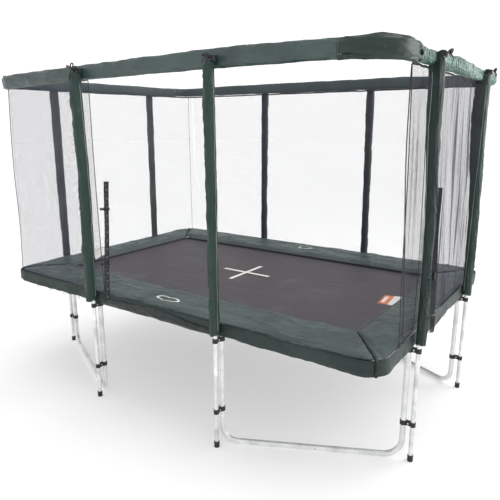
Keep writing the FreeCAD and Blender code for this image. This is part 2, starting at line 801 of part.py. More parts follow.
def make_straps():
    """Webbing straps that edge the entrance, with toggles on one and a buckle on the other."""
    height = "strap_top_height - net_bottom_height"
    plane = "net_half_width - net_thickness / 2"
    strap = box(
        "entry_webbing", "strap_width", "strap_thickness", height,
        x="-entry_strap_centre - strap_width / 2", y=f"-({plane}) - strap_thickness / 2",
        z="net_bottom_height",
    )
    toggles = [
        cylinder(
            "toggle", "toggle_radius", "toggle_length",
            x="-entry_strap_centre - toggle_length / 2",
            y=f"-({plane}) - strap_thickness / 2 - toggle_radius", z=z, turn=ALONG_X,
        )
        for z in ("toggle_low_height", "toggle_high_height")
    ]
    node(group("entry_strap_group", [strap, *toggles]), "entry_strap")
    plane = "net_half_length - net_thickness / 2"
    webbing = box(
        "door_webbing", "strap_thickness", "strap_width", height,
        x=f"{plane} - strap_thickness / 2", y="-door_strap_centre - strap_width / 2", z="net_bottom_height",
    )
    node(webbing, "door_strap")
    buckle = rounded_slab(
        "door_buckle_plate", "buckle_length / 2", "buckle_width / 2", "buckle_depth / 2",
        "buckle_depth", "0",
    )
    place(
        buckle, x=f"{plane} + strap_thickness / 2 + slip_clearance", y="-door_strap_centre",
        z="buckle_height", turn=ALONG_X,
    )
    node(buckle, "door_buckle")


def make_net_hooks():
    """Wire hooks that go from the net's hem round the skirt's lower edge to the back of it."""
    x = "net_half_length - net_thickness / 2 - frame_half_length"
    low, radius = "hook_bend_height", "hook_wire_radius"
    outer = cylinder("hook_outer", radius, f"net_bottom_height - 2 - {low}", x=x, z=low)
    inner = cylinder("hook_inner", radius, f"hook_tip_height - {low}", x=f"{x} - 2 * hook_bend_radius", z=low)
    turned = primitive(
        "Torus", "hook_bend", {"Radius1": "hook_bend_radius", "Radius2": radius, "Angle3": "180"},
        x=f"{x} - hook_bend_radius", z=low, turn=FreeCAD.Rotation(X, -90),
    )
    hook = fuse("net_hook", [outer, turned, inner])
    end_x = size("net_half_length - net_corner_radius")
    end_y = size("net_half_width - net_corner_radius")
    spans = {
        "front": (-end_x, -size("entry_strap_centre")),
        "back": (-end_x, end_x),
        "left": (-end_y, end_y),
        "right": (-size("door_strap_centre"), end_y),
    }
    hooks = []
    for side, (low_end, high_end) in spans.items():
        sign, angle = SIDES[side]
        margin = size("hook_bend_radius")
        for i in range(-9, 9):
            along = (i + 0.5) * size("hook_pitch")
            if not low_end + margin < along < high_end - margin:
                continue
            step = f"{i + 0.5} * hook_pitch"
            if side in ("front", "back"):
                hooks.append(copy(hook, step, f"{sign}frame_half_width", angle=angle))
            else:
                hooks.append(copy(hook, f"{sign}frame_half_length", step, angle=angle))
    node(group("net_hook_group", hooks), "net_hooks")


# ---------- build, check and write ----------


def main():
    make_frame_rails()
    make_frame_elbows()
    make_leg_sockets()
    make_legs()
    make_net_poles()
    make_pole_sleeves()
    make_foot_caps()
    make_clamps()
    make_top_rail()
    make_rail_bolts()
    make_rail_sleeves()
    make_mat()
    make_springs()
    make_pads()
    make_nets()
    make_straps()
    make_net_hooks()
    doc.recompute()
    for item in doc.Objects:
        if "Invalid" in item.State or "Error" in item.State:
            raise RuntimeError(f"{item.Label} failed: {item.State}")
    os.makedirs("parts", exist_ok=True)
    for item in nodes:
        shape = item.Shape
        if shape.isNull() or not shape.isValid() or not shape.Solids:
            raise RuntimeError(f"{item.Label} has no valid solid")
        shape.exportStep(f"parts/{item.Label}.step")
        print(item.Label, len(shape.Solids), round(shape.Volume))
    print(len(nodes), "nodes")


main()
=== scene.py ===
import json
import math

import bmesh
import bpy
import numpy as np
from mathutils.bvhtree import BVHTree
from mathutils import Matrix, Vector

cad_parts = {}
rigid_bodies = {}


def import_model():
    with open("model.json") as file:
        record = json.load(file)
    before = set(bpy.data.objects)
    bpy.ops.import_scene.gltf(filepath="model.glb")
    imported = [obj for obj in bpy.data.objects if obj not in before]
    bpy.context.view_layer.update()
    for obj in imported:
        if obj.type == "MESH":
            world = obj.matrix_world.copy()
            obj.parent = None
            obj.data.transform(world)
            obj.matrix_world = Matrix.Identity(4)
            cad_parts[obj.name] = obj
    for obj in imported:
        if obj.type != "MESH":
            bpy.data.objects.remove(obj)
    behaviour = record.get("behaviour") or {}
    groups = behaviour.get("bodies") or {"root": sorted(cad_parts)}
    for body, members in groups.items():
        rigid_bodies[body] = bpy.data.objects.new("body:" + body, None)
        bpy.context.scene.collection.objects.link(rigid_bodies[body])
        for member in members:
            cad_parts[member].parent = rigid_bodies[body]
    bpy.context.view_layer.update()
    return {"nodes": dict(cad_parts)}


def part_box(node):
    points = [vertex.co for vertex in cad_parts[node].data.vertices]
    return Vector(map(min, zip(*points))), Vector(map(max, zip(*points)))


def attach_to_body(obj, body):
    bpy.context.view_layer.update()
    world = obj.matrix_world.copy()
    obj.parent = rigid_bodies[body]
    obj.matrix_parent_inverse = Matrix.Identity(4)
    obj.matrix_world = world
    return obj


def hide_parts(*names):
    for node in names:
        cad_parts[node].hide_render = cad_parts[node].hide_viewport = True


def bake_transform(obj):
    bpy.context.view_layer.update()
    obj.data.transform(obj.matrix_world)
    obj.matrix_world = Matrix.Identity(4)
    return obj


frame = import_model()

# Rectangular garden trampoline with a netted enclosure. Metres, +Z up, entrance towards -Y.
nodes = frame["nodes"]
PI = math.pi

SIDES = {
    # name: outward direction, then the direction along the side
    "front": ((0, -1), (1, 0)),
    "right": ((1, 0), (0, 1)),
    "back": ((0, 1), (-1, 0)),
    "left": ((-1, 0), (0, -1)),
}
LONG = ("front", "back")

# ---------------------------------------------------------------- camera, lights and floor

camera_data = bpy.data.cameras.new("camera")
camera_data.sensor_width = 36
camera_data.lens = 37.63
camera_data.clip_end = 300
camera = bpy.data.objects.new("camera", camera_data)
camera.location = (2.801, -3.957, 2.302)
camera.rotation_euler = (PI / 2 - 0.2342, 0, 0.6086)
bpy.context.scene.collection.objects.link(camera)
bpy.context.scene.camera = camera
bpy.context.scene.view_settings.view_transform = "Standard"


def lamp(name, kind, power):
    made = bpy.data.objects.new(name, bpy.data.lights.new(name, kind))
    made.data.energy = power
    bpy.context.scene.collection.objects.link(made)
    return made


# a wide lamp behind on the right, aimed at the top of the right side
edge_lamp = lamp("edge", "AREA", 300)
edge_lamp.data.shape = "DISK"
edge_lamp.data.size = 6
edge_lamp.location = (6.5, 5.0, 4.0)
edge_lamp.rotation_euler = (PI / 2 - math.atan2(2.0, math.hypot(5.7, 5.0)), 0, math.atan2(5.7, -5.0))

sky_panel = lamp("sky_panel", "SUN", 1.15)
sky_panel.data.angle = math.radians(60)
sky_panel.rotation_euler = (math.radians(-16), math.radians(14), 0)

# the camera sees a white backdrop, and a little less light comes from it
world = bpy.data.worlds.new("studio")
world.use_nodes = True
tree = world.node_tree
behind, around = tree.nodes["Background"], tree.nodes.new("ShaderNodeBackground")
for backdrop, colour, strength in ((behind, (1, 1, 1, 1), 1.14), (around, (0.98, 0.99, 1, 1), 0.92)):
    backdrop.inputs["Color"].default_value = colour
    backdrop.inputs["Strength"].default_value = strength
choice, path = tree.nodes.new("ShaderNodeMixShader"), tree.nodes.new("ShaderNodeLightPath")
tree.links.new(path.outputs["Is Camera Ray"], choice.inputs[0])
tree.links.new(around.outputs[0], choice.inputs[1])
tree.links.new(behind.outputs[0], choice.inputs[2])
tree.links.new(choice.outputs[0], tree.nodes["World Output"].inputs[0])
bpy.context.scene.world = world

# ---------------------------------------------------------------- smooth noise for folds


def noise(x, y, seed):
    """Smooth noise from -1 to 1 over the plane, the same on every run."""
    x, y = np.broadcast_arrays(np.asarray(x, float), np.asarray(y, float))
    cell_x, cell_y = np.floor(x).astype(np.int64), np.floor(y).astype(np.int64)
    fx, fy = x - cell_x, y - cell_y
    fx, fy = fx * fx * (3 - 2 * fx), fy * fy * (3 - 2 * fy)

    def corner(a, b):
        h = (cell_x + a) * 374761393 + (cell_y + b) * 668265263 + seed * 1274126177
        h = (h ^ (h >> 13)) * 1103515245
        return ((h ^ (h >> 16)) & 0xFFFF) / 32767.5 - 1

    near = corner(0, 0) * (1 - fx) + corner(1, 0) * fx
    far = corner(0, 1) * (1 - fx) + corner(1, 1) * fx
    return near * (1 - fy) + far * fy


def folds(x, y, seed, octaves=3):
    """Smooth noise with finer noise added on top."""
    total = 0
    for k in range(octaves):
        total = total + noise(x * 2**k, y * 2**k, seed + k) / 1.8**k
    return total


def creases(x, y, seed):
    """Narrow ridges on flat ground, from 0 to 1."""
    bend = noise(x * 0.7, y * 0.7, seed + 9)
    return (1 - np.abs(noise(x + bend, y + bend, seed))) ** 5


# ---------------------------------------------------------------- building meshes


def stacked(*axes):
    """Points from their coordinates, spread over a grid where the shapes differ."""
    return np.stack(np.broadcast_arrays(*axes), -1)


def metres(rows, columns):
    """UVs of a grid from the lengths along its rows and its columns."""
    return stacked(np.asarray(rows)[:, None], np.asarray(columns)[None, :])


def distances(points):
    """How far along a line each of its points is."""
    return np.concatenate([[0], np.cumsum(np.linalg.norm(np.diff(points, axis=0), axis=1))])


def squared(wave, power):
    """A sine or cosine bent so that a circle drawn with it turns into a rounded box."""
    return np.sign(wave) * np.abs(wave) ** power


def full_turn(count):
    """Angles once round, with the first not given again as the last."""
    return np.linspace(0, 2 * PI, count + 1)[:-1]


def on_side(side, along, out, z):
    """Points on one side: along it, outward from the middle of the bed, and up."""
    (ox, oy), (tx, ty) = SIDES[side]
    along, out = np.asarray(along), np.asarray(out)
    return stacked(tx * along + ox * out, ty * along + oy * out, z)
class Shape:
    """Collects surfaces into one mesh, with UVs in metres and a distance to the nearest hem."""

    def __init__(self):
        self.points, self.faces, self.uvs, self.slots, self.edges, self.count = [], [], [], [], [], 0

    def add(self, points, faces, uv):
        """points (n, 3), faces (m, 4), uv (n, 2)."""
        self.points.append(points)
        self.faces += (faces + self.count).tolist()
        self.uvs.append(uv[faces].reshape(-1, 2))
        self.slots += [0] * len(faces)
        self.edges.append(np.ones(len(points)))
        self.count += len(points)

    def surface(self, grid, uv, slot=0, edge=1.0, close_rows=False, close_columns=False):
        """A grid of points. A closed direction has its first line again as its last."""
        rows, columns = grid.shape[:2]
        r, c = np.arange(rows), np.arange(columns)
        if close_rows:
            r[-1] = 0
        if close_columns:
            c[-1] = 0
        real = r[:, None] * columns + c[None, :]
        drawn = np.arange(rows * columns).reshape(rows, columns)
        steps = [(0, 0), (0, 1), (1, 1), (1, 0)]

        def cells(index):
            return np.stack([index[a:rows - 1 + a, b:columns - 1 + b] for a, b in steps], -1)

        faces, corners = cells(real).reshape(-1, 4), cells(drawn).reshape(-1, 4)
        self.points.append(grid.reshape(-1, 3))
        self.faces += (faces + self.count).tolist()
        self.uvs.append(uv.reshape(-1, 2)[corners].reshape(-1, 2))
        self.slots += np.broadcast_to(slot, (rows - 1, columns - 1)).ravel().tolist()
        self.edges.append(np.broadcast_to(edge, (rows, columns)).ravel())
        start = self.count
        self.count += rows * columns
        return start + real

    def cap(self, ring, slot):
        """Closes a ring of point numbers with one face."""
        self.faces.append([int(i) for i in ring])
        self.uvs.append(np.zeros((len(ring), 2)))
        self.slots.append(int(slot))

    def close(self, index, slot=0):
        """Caps both ends of a surface that is closed across its columns."""
        self.cap(index[0][:-1][::-1], slot)
        self.cap(index[-1][:-1], slot)

    def tube(self, path, radius, sides, slot=0, caps=True, closed=False):
        """A round tube along path (n, 3). radius is one number or one per point."""
        path = np.asarray(path, float)
        if closed:
            path = np.vstack([path, path[:1]])
        n = len(path)
        ahead = np.gradient(path, axis=0)
        if closed:
            ahead[0] = ahead[-1] = path[1] - path[-2]
        ahead /= np.linalg.norm(ahead, axis=1)[:, None] + 1e-12
        up = np.array([0, 0, 1.0]) if abs(ahead[0][2]) < 0.9 else np.array([1.0, 0, 0])
        normals = []
        for a in ahead:
            up = up - a * up.dot(a)
            up /= np.linalg.norm(up) + 1e-12
            normals.append(up)
        normals = np.array(normals)
        if closed:
            normals[-1] = normals[0]
        across = np.cross(ahead, normals)
        turn = np.linspace(0, 2 * PI, sides + 1)
        r = np.broadcast_to(radius, n)[:, None, None]
        grid = path[:, None] + r * (normals[:, None] * np.cos(turn)[:, None]
                                    + across[:, None] * np.sin(turn)[:, None])
        index = self.surface(grid, metres(distances(path), turn * np.mean(radius)), slot,
                             close_rows=closed, close_columns=True)
        if caps and not closed:
            self.close(index, slot)

    def make(self, name, materials, weld=False):
        """Makes the object. weld joins points that coincide."""
        points = np.concatenate(self.points)
        edge = np.concatenate(self.edges)
        used = np.unique(np.concatenate([np.ravel(f) for f in self.faces]))
        new = np.full(len(points), -1)
        new[used] = np.arange(len(used))
        faces = [[int(new[i]) for i in f] for f in self.faces]
        mesh = bpy.data.meshes.new(name)
        mesh.from_pydata(points[used].tolist(), [], faces)
        mesh.uv_layers.new(name="metres").data.foreach_set("uv", np.concatenate(self.uvs).ravel())
        mesh.polygons.foreach_set("material_index", self.slots)
        mesh.polygons.foreach_set("use_smooth", [True] * len(faces))
        mesh.attributes.new("edge", "FLOAT", "POINT").data.foreach_set("value", edge[used])
        for m in materials:
            mesh.materials.append(m)
        if weld:
            work = bmesh.new()
            work.from_mesh(mesh)
            bmesh.ops.remove_doubles(work, verts=work.verts, dist=1e-5)
            work.to_mesh(mesh)
            work.free()
        made = bpy.data.objects.new(name, mesh)
        bpy.context.scene.collection.objects.link(made)
        return made


def read(items, key, width=3):
    """One value of every item of a mesh, as rows of that width."""
    values = np.empty(len(items) * width)
    items.foreach_get(key, values)
    return values.reshape(-1, width)


def solid(piece, thickness, inner=0):
    """Gives a sheet its real thickness. inner moves the inside to a later material."""
    shell = piece.modifiers.new("thickness", "SOLIDIFY")
    shell.thickness = thickness
    shell.offset = -1
    shell.material_offset = inner
    shell.use_even_offset = False
    return piece
def attach(piece, body, node=""):
    """Says which body a piece rides on, and the CAD part that it takes the place of."""
    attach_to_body(piece, body)
    if node:
        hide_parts(node)

# ---------------------------------------------------------------- materials


def srgb(*levels):
    """A colour given as screen levels from 0 to 255."""
    linear = [(v / 255 / 12.92) if v < 10.3 else ((v / 255 + 0.055) / 1.055) ** 2.4 for v in levels]
    return (*linear, 1)


class Material:
    """A Principled material with short names for the nodes that it needs."""

    def __init__(self, name, **sockets):
        self.made = bpy.data.materials.new(name)
        self.made.use_nodes = True
        self.tree = self.made.node_tree
        self.tree.nodes.clear()
        out = self.tree.nodes.new("ShaderNodeOutputMaterial")
        self.shader = self.tree.nodes.new("ShaderNodeBsdfPrincipled")
        self.tree.links.new(self.shader.outputs[0], out.inputs[0])
        self.set(**sockets)

    def set(self, **sockets):
        for key, value in sockets.items():
            self.put(self.shader.inputs[key.replace("_", " ")], value)

    def put(self, socket, value):
        if isinstance(value, bpy.types.NodeSocket):
            self.tree.links.new(value, socket)
        else:
            socket.default_value = value

    def node(self, kind, inputs, output=0, **settings):
        made = self.tree.nodes.new("ShaderNode" + kind)
        for key, value in settings.items():
            setattr(made, key, value)
        for key, value in inputs.items():
            self.put(made.inputs[key], value)
        return made.outputs[output]

    def uv(self):
        return self.node("UVMap", {}, uv_map="metres")

    def place(self):
        return self.node("TexCoord", {}, output="Object")

    def attribute(self, name):
        return self.node("Attribute", {}, output="Fac", attribute_name=name)

    def split(self, vector):
        made = self.tree.nodes.new("ShaderNodeSeparateXYZ")
        self.put(made.inputs[0], vector)
        return made.outputs[:3]

    def stretch(self, vector, scale):
        return self.node("Mapping", {"Vector": vector, "Scale": scale})

    def noise(self, vector, scale, detail, warp=0.0):
        return self.node("TexNoise", {"Vector": vector, "Scale": scale, "Detail": detail,
                                      "Distortion": warp})

    def math(self, operation, a, b=0.0, c=0.0):
        return self.node("Math", {0: a, 1: b, 2: c}, operation=operation)

    def ramp(self, value, low, high, to_low=0.0, to_high=1.0):
        return self.node("MapRange", {"Value": value, "From Min": low, "From Max": high,
                                      "To Min": to_low, "To Max": to_high})

    def mix(self, factor, a, b):
        return self.node("Mix", {0: factor, 6: a, 7: b}, output=2, data_type="RGBA")

    def wave(self, value, pitch):
        return self.math("SINE", self.math("MULTIPLY", value, 2 * PI / pitch))

    def bump(self, height, strength, distance, normal=None):
        inputs = {"Height": height, "Strength": strength, "Distance": distance}
        if normal is not None:
            inputs["Normal"] = normal
        return self.node("Bump", inputs)

    def stitches(self, u, distance, pitch=0.012, width=0.0014):
        """1 on a row of stitches at that distance from the hem, and 0 elsewhere."""
        offset = self.math("ABSOLUTE", self.math("SUBTRACT", self.attribute("edge"), distance))
        line = self.math("LESS_THAN", offset, width)
        dash = self.math("GREATER_THAN", self.wave(u, pitch), -0.35)
        return self.math("MULTIPLY", line, dash)


def coated_cloth(name, colour, light, rough, glare=0.5, thread=(0.25, 0.3, 0.28, 1), stitched=True):
    """PVC-coated polyester: cloudy colour, the scrim showing through, small creases and hems."""
    m = Material(name, Specular_IOR_Level=glare)
    colour, light = srgb(*colour), srgb(*light)
    at = m.uv()
    u, v, _ = m.split(at)
    clouds = m.noise(at, 2.6, 4, 0.6)
    dust = m.noise(at, 34, 3)
    tone = m.mix(m.ramp(clouds, 0.34, 0.68), colour, light)
    tone = m.mix(m.ramp(dust, 0.62, 0.8, 0, 0.25), tone, srgb(112, 126, 124))
    scrim = m.math("MULTIPLY", m.wave(u, 0.0032), m.wave(v, 0.0032))
    crinkle = m.noise(m.stretch(at, (1, 2.2, 1)), 17, 4, 1.2)
    normal = m.bump(crinkle, 0.55, 0.006)
    normal = m.bump(scrim, 0.18, 0.0006, normal)
    if stitched:
        sewn = m.math("MAXIMUM", m.stitches(u, 0.007), m.stitches(u, 0.021))
        tone = m.mix(sewn, tone, thread)
        hem = m.ramp(m.attribute("edge"), 0.024, 0.028, 1, 0)
        normal = m.bump(m.math("ADD", hem, sewn), 0.6, 0.0015, normal)
    m.set(Base_Color=tone, Normal=normal,
          Roughness=m.ramp(m.noise(at, 9, 3), 0.3, 0.7, rough - 0.07, rough + 0.1))
    return m.made


def galvanised(name, tone, rough, metal=0.8):
    """Zinc on steel: spangle, drawn streaks, dull patches."""
    m = Material(name, Metallic=metal)
    at = m.place()
    spangle = m.node("TexVoronoi", {"Vector": at, "Scale": 160}, output="Color")
    flakes = m.split(spangle)[0]
    patches = m.noise(at, 9, 4)
    streaks = m.noise(m.stretch(at, (60, 60, 2)), 4, 3)
    bright = (*[min(1, c * 1.22) for c in tone], 1)
    dull = (*[c * 0.74 for c in tone], 1)
    colour = m.mix(m.ramp(patches, 0.3, 0.7), dull, bright)
    colour = m.mix(m.ramp(flakes, 0, 1, 0, 0.22), colour, (0.36, 0.37, 0.4, 1))
    colour = m.mix(m.ramp(streaks, 0.66, 0.8, 0, 0.3), colour, (0.4, 0.4, 0.41, 1))
    m.set(Base_Color=colour, Roughness=m.ramp(patches, 0.3, 0.7, rough + 0.12, rough - 0.05),
          Normal=m.bump(m.noise(at, 210, 3), 0.25, 0.0008))
    return m.made


def moulded(name, colour):
    """Moulded plastic with a fine grain and rubbed spots."""
    m = Material(name)
    at = m.place()
    rubbed = m.ramp(m.noise(at, 30, 4), 0.5, 0.75, 0, 0.35)
    m.set(Base_Color=m.mix(rubbed, srgb(*colour), srgb(74, 75, 77)),
          Roughness=m.ramp(m.noise(at, 45, 2), 0.3, 0.7, 0.4, 0.62),
          Normal=m.bump(m.noise(at, 520, 2), 0.3, 0.0006))
    return m.made


def webbing(name, colour, light, pitch):
    """Woven tape: diagonal ribs and some fluff."""
    m = Material(name, Roughness=0.8, Sheen_Weight=0.25)
    at = m.uv()
    u, v, _ = m.split(at)
    rib = m.math("MULTIPLY", m.wave(m.math("ADD", u, v), pitch), m.wave(m.math("SUBTRACT", u, v), pitch))
    fluff = m.noise(at, 90, 3)
    light = srgb(*light)
    colour = m.mix(m.ramp(fluff, 0.35, 0.75), srgb(*colour), light)
    m.set(Base_Color=m.mix(m.ramp(rib, -1, 1, 0, 0.3), colour, light),
          Normal=m.bump(rib, 0.5, 0.0008, m.bump(fluff, 0.3, 0.001)))
    return m.made


def netting(name, colour, light, width):
    """Knotted net: threads in a diamond lattice, with more cover where the cloth is gathered."""
    m = Material(name, Roughness=0.75)
    pitch = 0.012
    at = m.uv()
    wander = m.node("TexNoise", {"Vector": at, "Scale": 7}, output="Color")
    wander = m.node("VectorMath", {0: wander, "Scale": 0.02}, operation="SCALE")
    u, v, _ = m.split(m.node("VectorMath", {0: at, 1: wander}))
    cover = None
    for slant in (0.62, -0.62):
        run = m.math("MULTIPLY_ADD", v, slant, u)
        off = m.math("SUBTRACT", m.math("FRACT", m.math("DIVIDE", run, pitch)), 0.5)
        line = m.ramp(m.math("ABSOLUTE", off), 0.5 * width / pitch, 0.9 * width / pitch, 1, 0)
        cover = line if cover is None else m.math("MAXIMUM", cover, line)
    uneven = m.noise(m.stretch(at, (26, 1.3, 1)), 1, 4, 0.4)
    lines = m.ramp(m.noise(m.stretch(at, (75, 0.7, 1)), 1, 3, 0.3), 0.56, 0.66, 0, 1.5)
    fill = m.math("ADD", lines, m.ramp(uneven, 0.3, 0.7, 0.55, 1.1))
    fill = m.math("MINIMUM", m.math("MULTIPLY", m.attribute("gather"), fill), 0.9)
    holes = m.math("MULTIPLY", m.math("SUBTRACT", 1.0, cover), m.math("SUBTRACT", 1.0, fill))
    m.set(Base_Color=m.mix(m.noise(at, 120, 2), srgb(*colour), srgb(*light)),
          Alpha=m.math("SUBTRACT", 1.0, holes))
    return m.made


# colours are screen levels, then roughness
cloth_pole = coated_cloth("pole_cover_cloth", (39, 58, 52), (50, 69, 63), 0.46, 0.3)
# a darker copy of the pole cloth, for the front pole of the right side: painted shade
cloth_pole_painted_shade = coated_cloth("pole_cover_cloth_painted_shade", (31, 45, 41), (41, 55, 51), 0.46, 0.3)
cloth_rail = coated_cloth("rail_cover_cloth", (38, 57, 54), (50, 73, 70), 0.34, 0.75)
# the right cover's cloth is a lighter, greener copy of the rail cloth: painted highlight for the glare along
# the right side
cloth_rail_painted_light = coated_cloth("rail_cover_cloth_painted_highlight", (38, 77, 65), (64, 110, 96), 0.32, 0.8)
cloth_rail_inside = coated_cloth("rail_cover_inside", (60, 69, 71), (72, 81, 84), 0.5, 0.3)
cloth_corner = coated_cloth("corner_cover_cloth", (31, 48, 42), (43, 61, 55), 0.44, 0.4)
cloth_pad = coated_cloth("pad_cloth", (42, 58, 55), (60, 77, 74), 0.42, thread=(0.05, 0.07, 0.065, 1))
# the skirt cloth is a darker copy of the pad cloth: painted shade on the hanging skirt and its piping
cloth_skirt_painted_shade = coated_cloth("skirt_cloth_painted_shade", (33, 46, 43), (42, 57, 54), 0.5, 0.35, (0.04, 0.06, 0.055, 1))
cloth_back = coated_cloth("cover_inside", (56, 61, 62), (72, 75, 78), 0.6, 0.2, srgb(30, 30, 32))
# a paler copy of the grey inside cloth, for the left poles: painted light on their inner faces
cloth_back_painted_light = coated_cloth("cover_inside_painted_light", (78, 83, 80), (98, 102, 99), 0.6, 0.2, srgb(40, 40, 42))
cloth_under = coated_cloth("pad_underside", (30, 32, 32), (42, 44, 44), 0.6, 0.3, stitched=False)
steel_frame = galvanised("galvanised_frame_steel", (0.62, 0.63, 0.65), 0.34)
# the legs get a brighter, less metallic copy of the galvanised steel: painted highlight for their bright
# reflections
steel_legs_painted_highlight = galvanised("galvanised_leg_steel_painted_highlight", (0.95, 0.955, 0.965), 0.3, 0.4)
steel_poles = galvanised("galvanised_pole_steel", (0.8, 0.81, 0.83), 0.3)
zinc = galvanised("zinc_plated_steel", (0.74, 0.72, 0.66), 0.22)
steel_spring = galvanised("spring_wire_steel", (0.55, 0.56, 0.58), 0.3)
plastic = moulded("black_moulded_plastic", (24, 24, 26))
tape_black = webbing("black_webbing_tape", (24, 24, 27), (52, 52, 57), 0.0026)
tape_white = webbing("white_tape", (205, 203, 198), (236, 235, 231), 0.003)
tape_mat = webbing("mat_edge_tape", (34, 34, 38), (58, 57, 62), 0.004)
net_roll = webbing("bunched_net_roll", (22, 27, 27), (44, 52, 51), 0.007)
eyelet_grey = webbing("eyelet_rim_thread", (80, 78, 76), (122, 118, 114), 0.003)
cord_black = webbing("black_cord", (18, 18, 20), (40, 40, 44), 0.002)
piping = coated_cloth("pale_piping", (112, 128, 122), (150, 166, 160), 0.4, stitched=False)
net_cloth = netting("net_cloth", (44, 43, 62), (74, 71, 98), 0.0009)
net_gathered = netting("gathered_net_cloth", (30, 29, 40), (60, 56, 78), 0.00085)


def woven_mat(name):
    """Woven polypropylene: a tight basket weave, pulled rows, large pale patches of painted sheen."""
    m = Material(name, Specular_IOR_Level=0.6)
    at = m.uv()
    u, v, _ = m.split(at)
    weave = m.math("MULTIPLY", m.wave(u, 0.0042), m.wave(v, 0.0042))
    rows = m.noise(m.stretch(at, (1, 34, 1)), 1.6, 4)
    sheen_patches = m.noise(at, 3.2, 5, 0.8)
    grit = m.noise(at, 240, 2)
    colour = m.mix(m.ramp(rows, 0.3, 0.7), srgb(41, 34, 41), srgb(51, 44, 51))
    # pale patches over the mat: painted sheen
    colour = m.mix(m.ramp(sheen_patches, 0.52, 0.75, 0, 0.4), colour, srgb(80, 76, 80))
    colour = m.mix(m.ramp(grit, 0.66, 0.74, 0, 0.35), colour, srgb(128, 124, 126))
    sewn = m.math("MAXIMUM", m.stitches(u, 0.012), m.stitches(u, 0.045))
    colour = m.mix(sewn, colour, srgb(120, 118, 122))
    m.set(Base_Color=colour, Roughness=m.ramp(rows, 0.3, 0.7, 0.4, 0.56),
          Normal=m.bump(weave, 0.35, 0.0009, m.bump(rows, 0.12, 0.004)))
    return m.made


mat_cloth = woven_mat("mat_weave")


def floor_finish():
    """Pale floor, which gives off a little light so that it meets the white backdrop."""
    m = Material("pale_floor", Roughness=0.9, Specular_IOR_Level=0.2, Emission_Color=(1, 1, 0.99, 1),
                 Emission_Strength=0.41)
    at = m.place()
    clouds = m.ramp(m.noise(at, 1.3, 4), 0.3, 0.7)
    m.set(Base_Color=m.mix(clouds, (0.565, 0.565, 0.562, 1), (0.59, 0.59, 0.587, 1)),
          Normal=m.bump(m.noise(at, 160, 2), 0.05, 0.0006))
    return m.made


floor_shape = Shape()
reach = np.linspace(-60, 60, 9)
floor_shape.surface(stacked(reach[:, None], reach, 0.0), metres(reach, reach))
floor = floor_shape.make("floor", [floor_finish()])

# the parts whose CAD shape is right keep it, and get a finished surface
FINISHES = {
    "frame_rail": steel_frame, "frame_elbows": steel_frame, "leg_sockets": steel_frame,
    "leg_base": steel_legs_painted_highlight, "leg_uprights": steel_legs_painted_highlight, "net_pole": steel_poles,
    "top_rail": steel_poles, "leg_screws": zinc, "clamp_bolts": zinc, "rail_bolts": zinc,
    "pole_foot_caps": plastic, "pole_lower_clamps": plastic, "pole_upper_brackets": plastic,
    "net_hooks": plastic,
}
for name, node in nodes.items():
    for start, finish in FINISHES.items():
        if name.startswith(start):
            if not node.material_slots:
                node.data.materials.append(finish)
            for slot in node.material_slots:
                slot.material = finish

# ---------------------------------------------------------------- sleeves over the net poles

POLE_SLEEVES = {
    # name: side, how far the seam between green and grey turns, in degrees, at the top and the bottom,
    # then for shares of the height: how far the cloth reaches back along the side, ahead along it,
    # inward and outward from the pole's axis, in millimetres
    "front_left": ("front", -6, 4, ((0.0, 54, 24, 24, 54), (0.29, 58, 43, 34, 56), (0.6, 44, 44, 34, 44),
                                    (0.92, 63, 28, 26, 60), (1.0, 60, 28, 26, 56))),
    "front_right": ("front", -4, -16, ((0.0, 40, 32, 29, 38), (0.45, 44, 28, 28, 40), (1.0, 52, 20, 24, 50))),
    "right_front": ("right", -29, -52, ((0.0, 34, 32, 22, 38), (0.25, 32, 30, 21, 38), (0.45, 32, 30, 24, 38),
                                        (0.6, 34, 32, 38, 33), (0.76, 40, 36, 60, 22),
                                        (1.0, 40, 38, 78, 20))),
    "right_back": ("right", 17, -28, ((0.0, 34, 34, 32, 40), (0.4, 38, 36, 44, 36), (0.76, 44, 40, 90, 20),
                                      (1.0, 42, 40, 84, 20))),
    "back_right": ("back", 5, -8, ((0.0, 36, 32, 30, 34), (1.0, 22, 50, 30, 36))),
    "back_left": ("back", -6, 8, ((0.0, 34, 34, 30, 34), (1.0, 38, 38, 30, 36))),
    "left_back": ("left", 8, -4, ((0.0, 35, 35, 30, 34), (1.0, 36, 37, 46, 26))),
    "left_front": ("left", -8, 6, ((0.0, 36, 36, 31, 34), (1.0, 38, 38, 58, 22))),
}
SLEEVE_LOW, SLEEVE_HIGH = (corner.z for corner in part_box("pole_sleeves_front"))
SLEEVE_END = 0.036  # from the top of the CAD sleeve down to the end of the cloth


def pole_axis(name):
    low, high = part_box("net_pole_" + name)
    return (low.x + high.x) / 2, (low.y + high.y) / 2


def sleeve_section(name, height, turn):
    """Distance outward and along the side from the pole's axis, for a share of the height and an angle."""
    heights, *reaches = (np.array(column) for column in zip(*POLE_SLEEVES[name][3]))
    back, ahead, inner, outer = (np.interp(height, heights, reach / 1000) for reach in reaches)
    seed = 20 + 7 * sorted(POLE_SLEEVES).index(name)
    neck = np.clip((height - 0.975) / 0.025, 0, 1) ** 2 * 0.7
    across = np.sin(turn) * np.where(np.sin(turn) > 0, ahead, back) * (1 - 0.4 * neck)
    out = np.cos(turn) * np.where(np.cos(turn) > 0, outer, inner) * (1 - 0.4 * neck)
    around = turn * 1.9
    fold = 0.06 * noise(height * 9, 0.5, seed) + 0.08 * folds(around + height * 3, height * 12, seed + 2)
    fold = fold + 0.2 * creases(around * 0.8 + 7, height * 17 + around * 0.5, seed + 3)
    scale = 1 + np.clip(fold, -0.06, 0.25) * np.where(np.cos(turn) > -0.1, 1.0, 0.5)
    return out * scale, across * scale


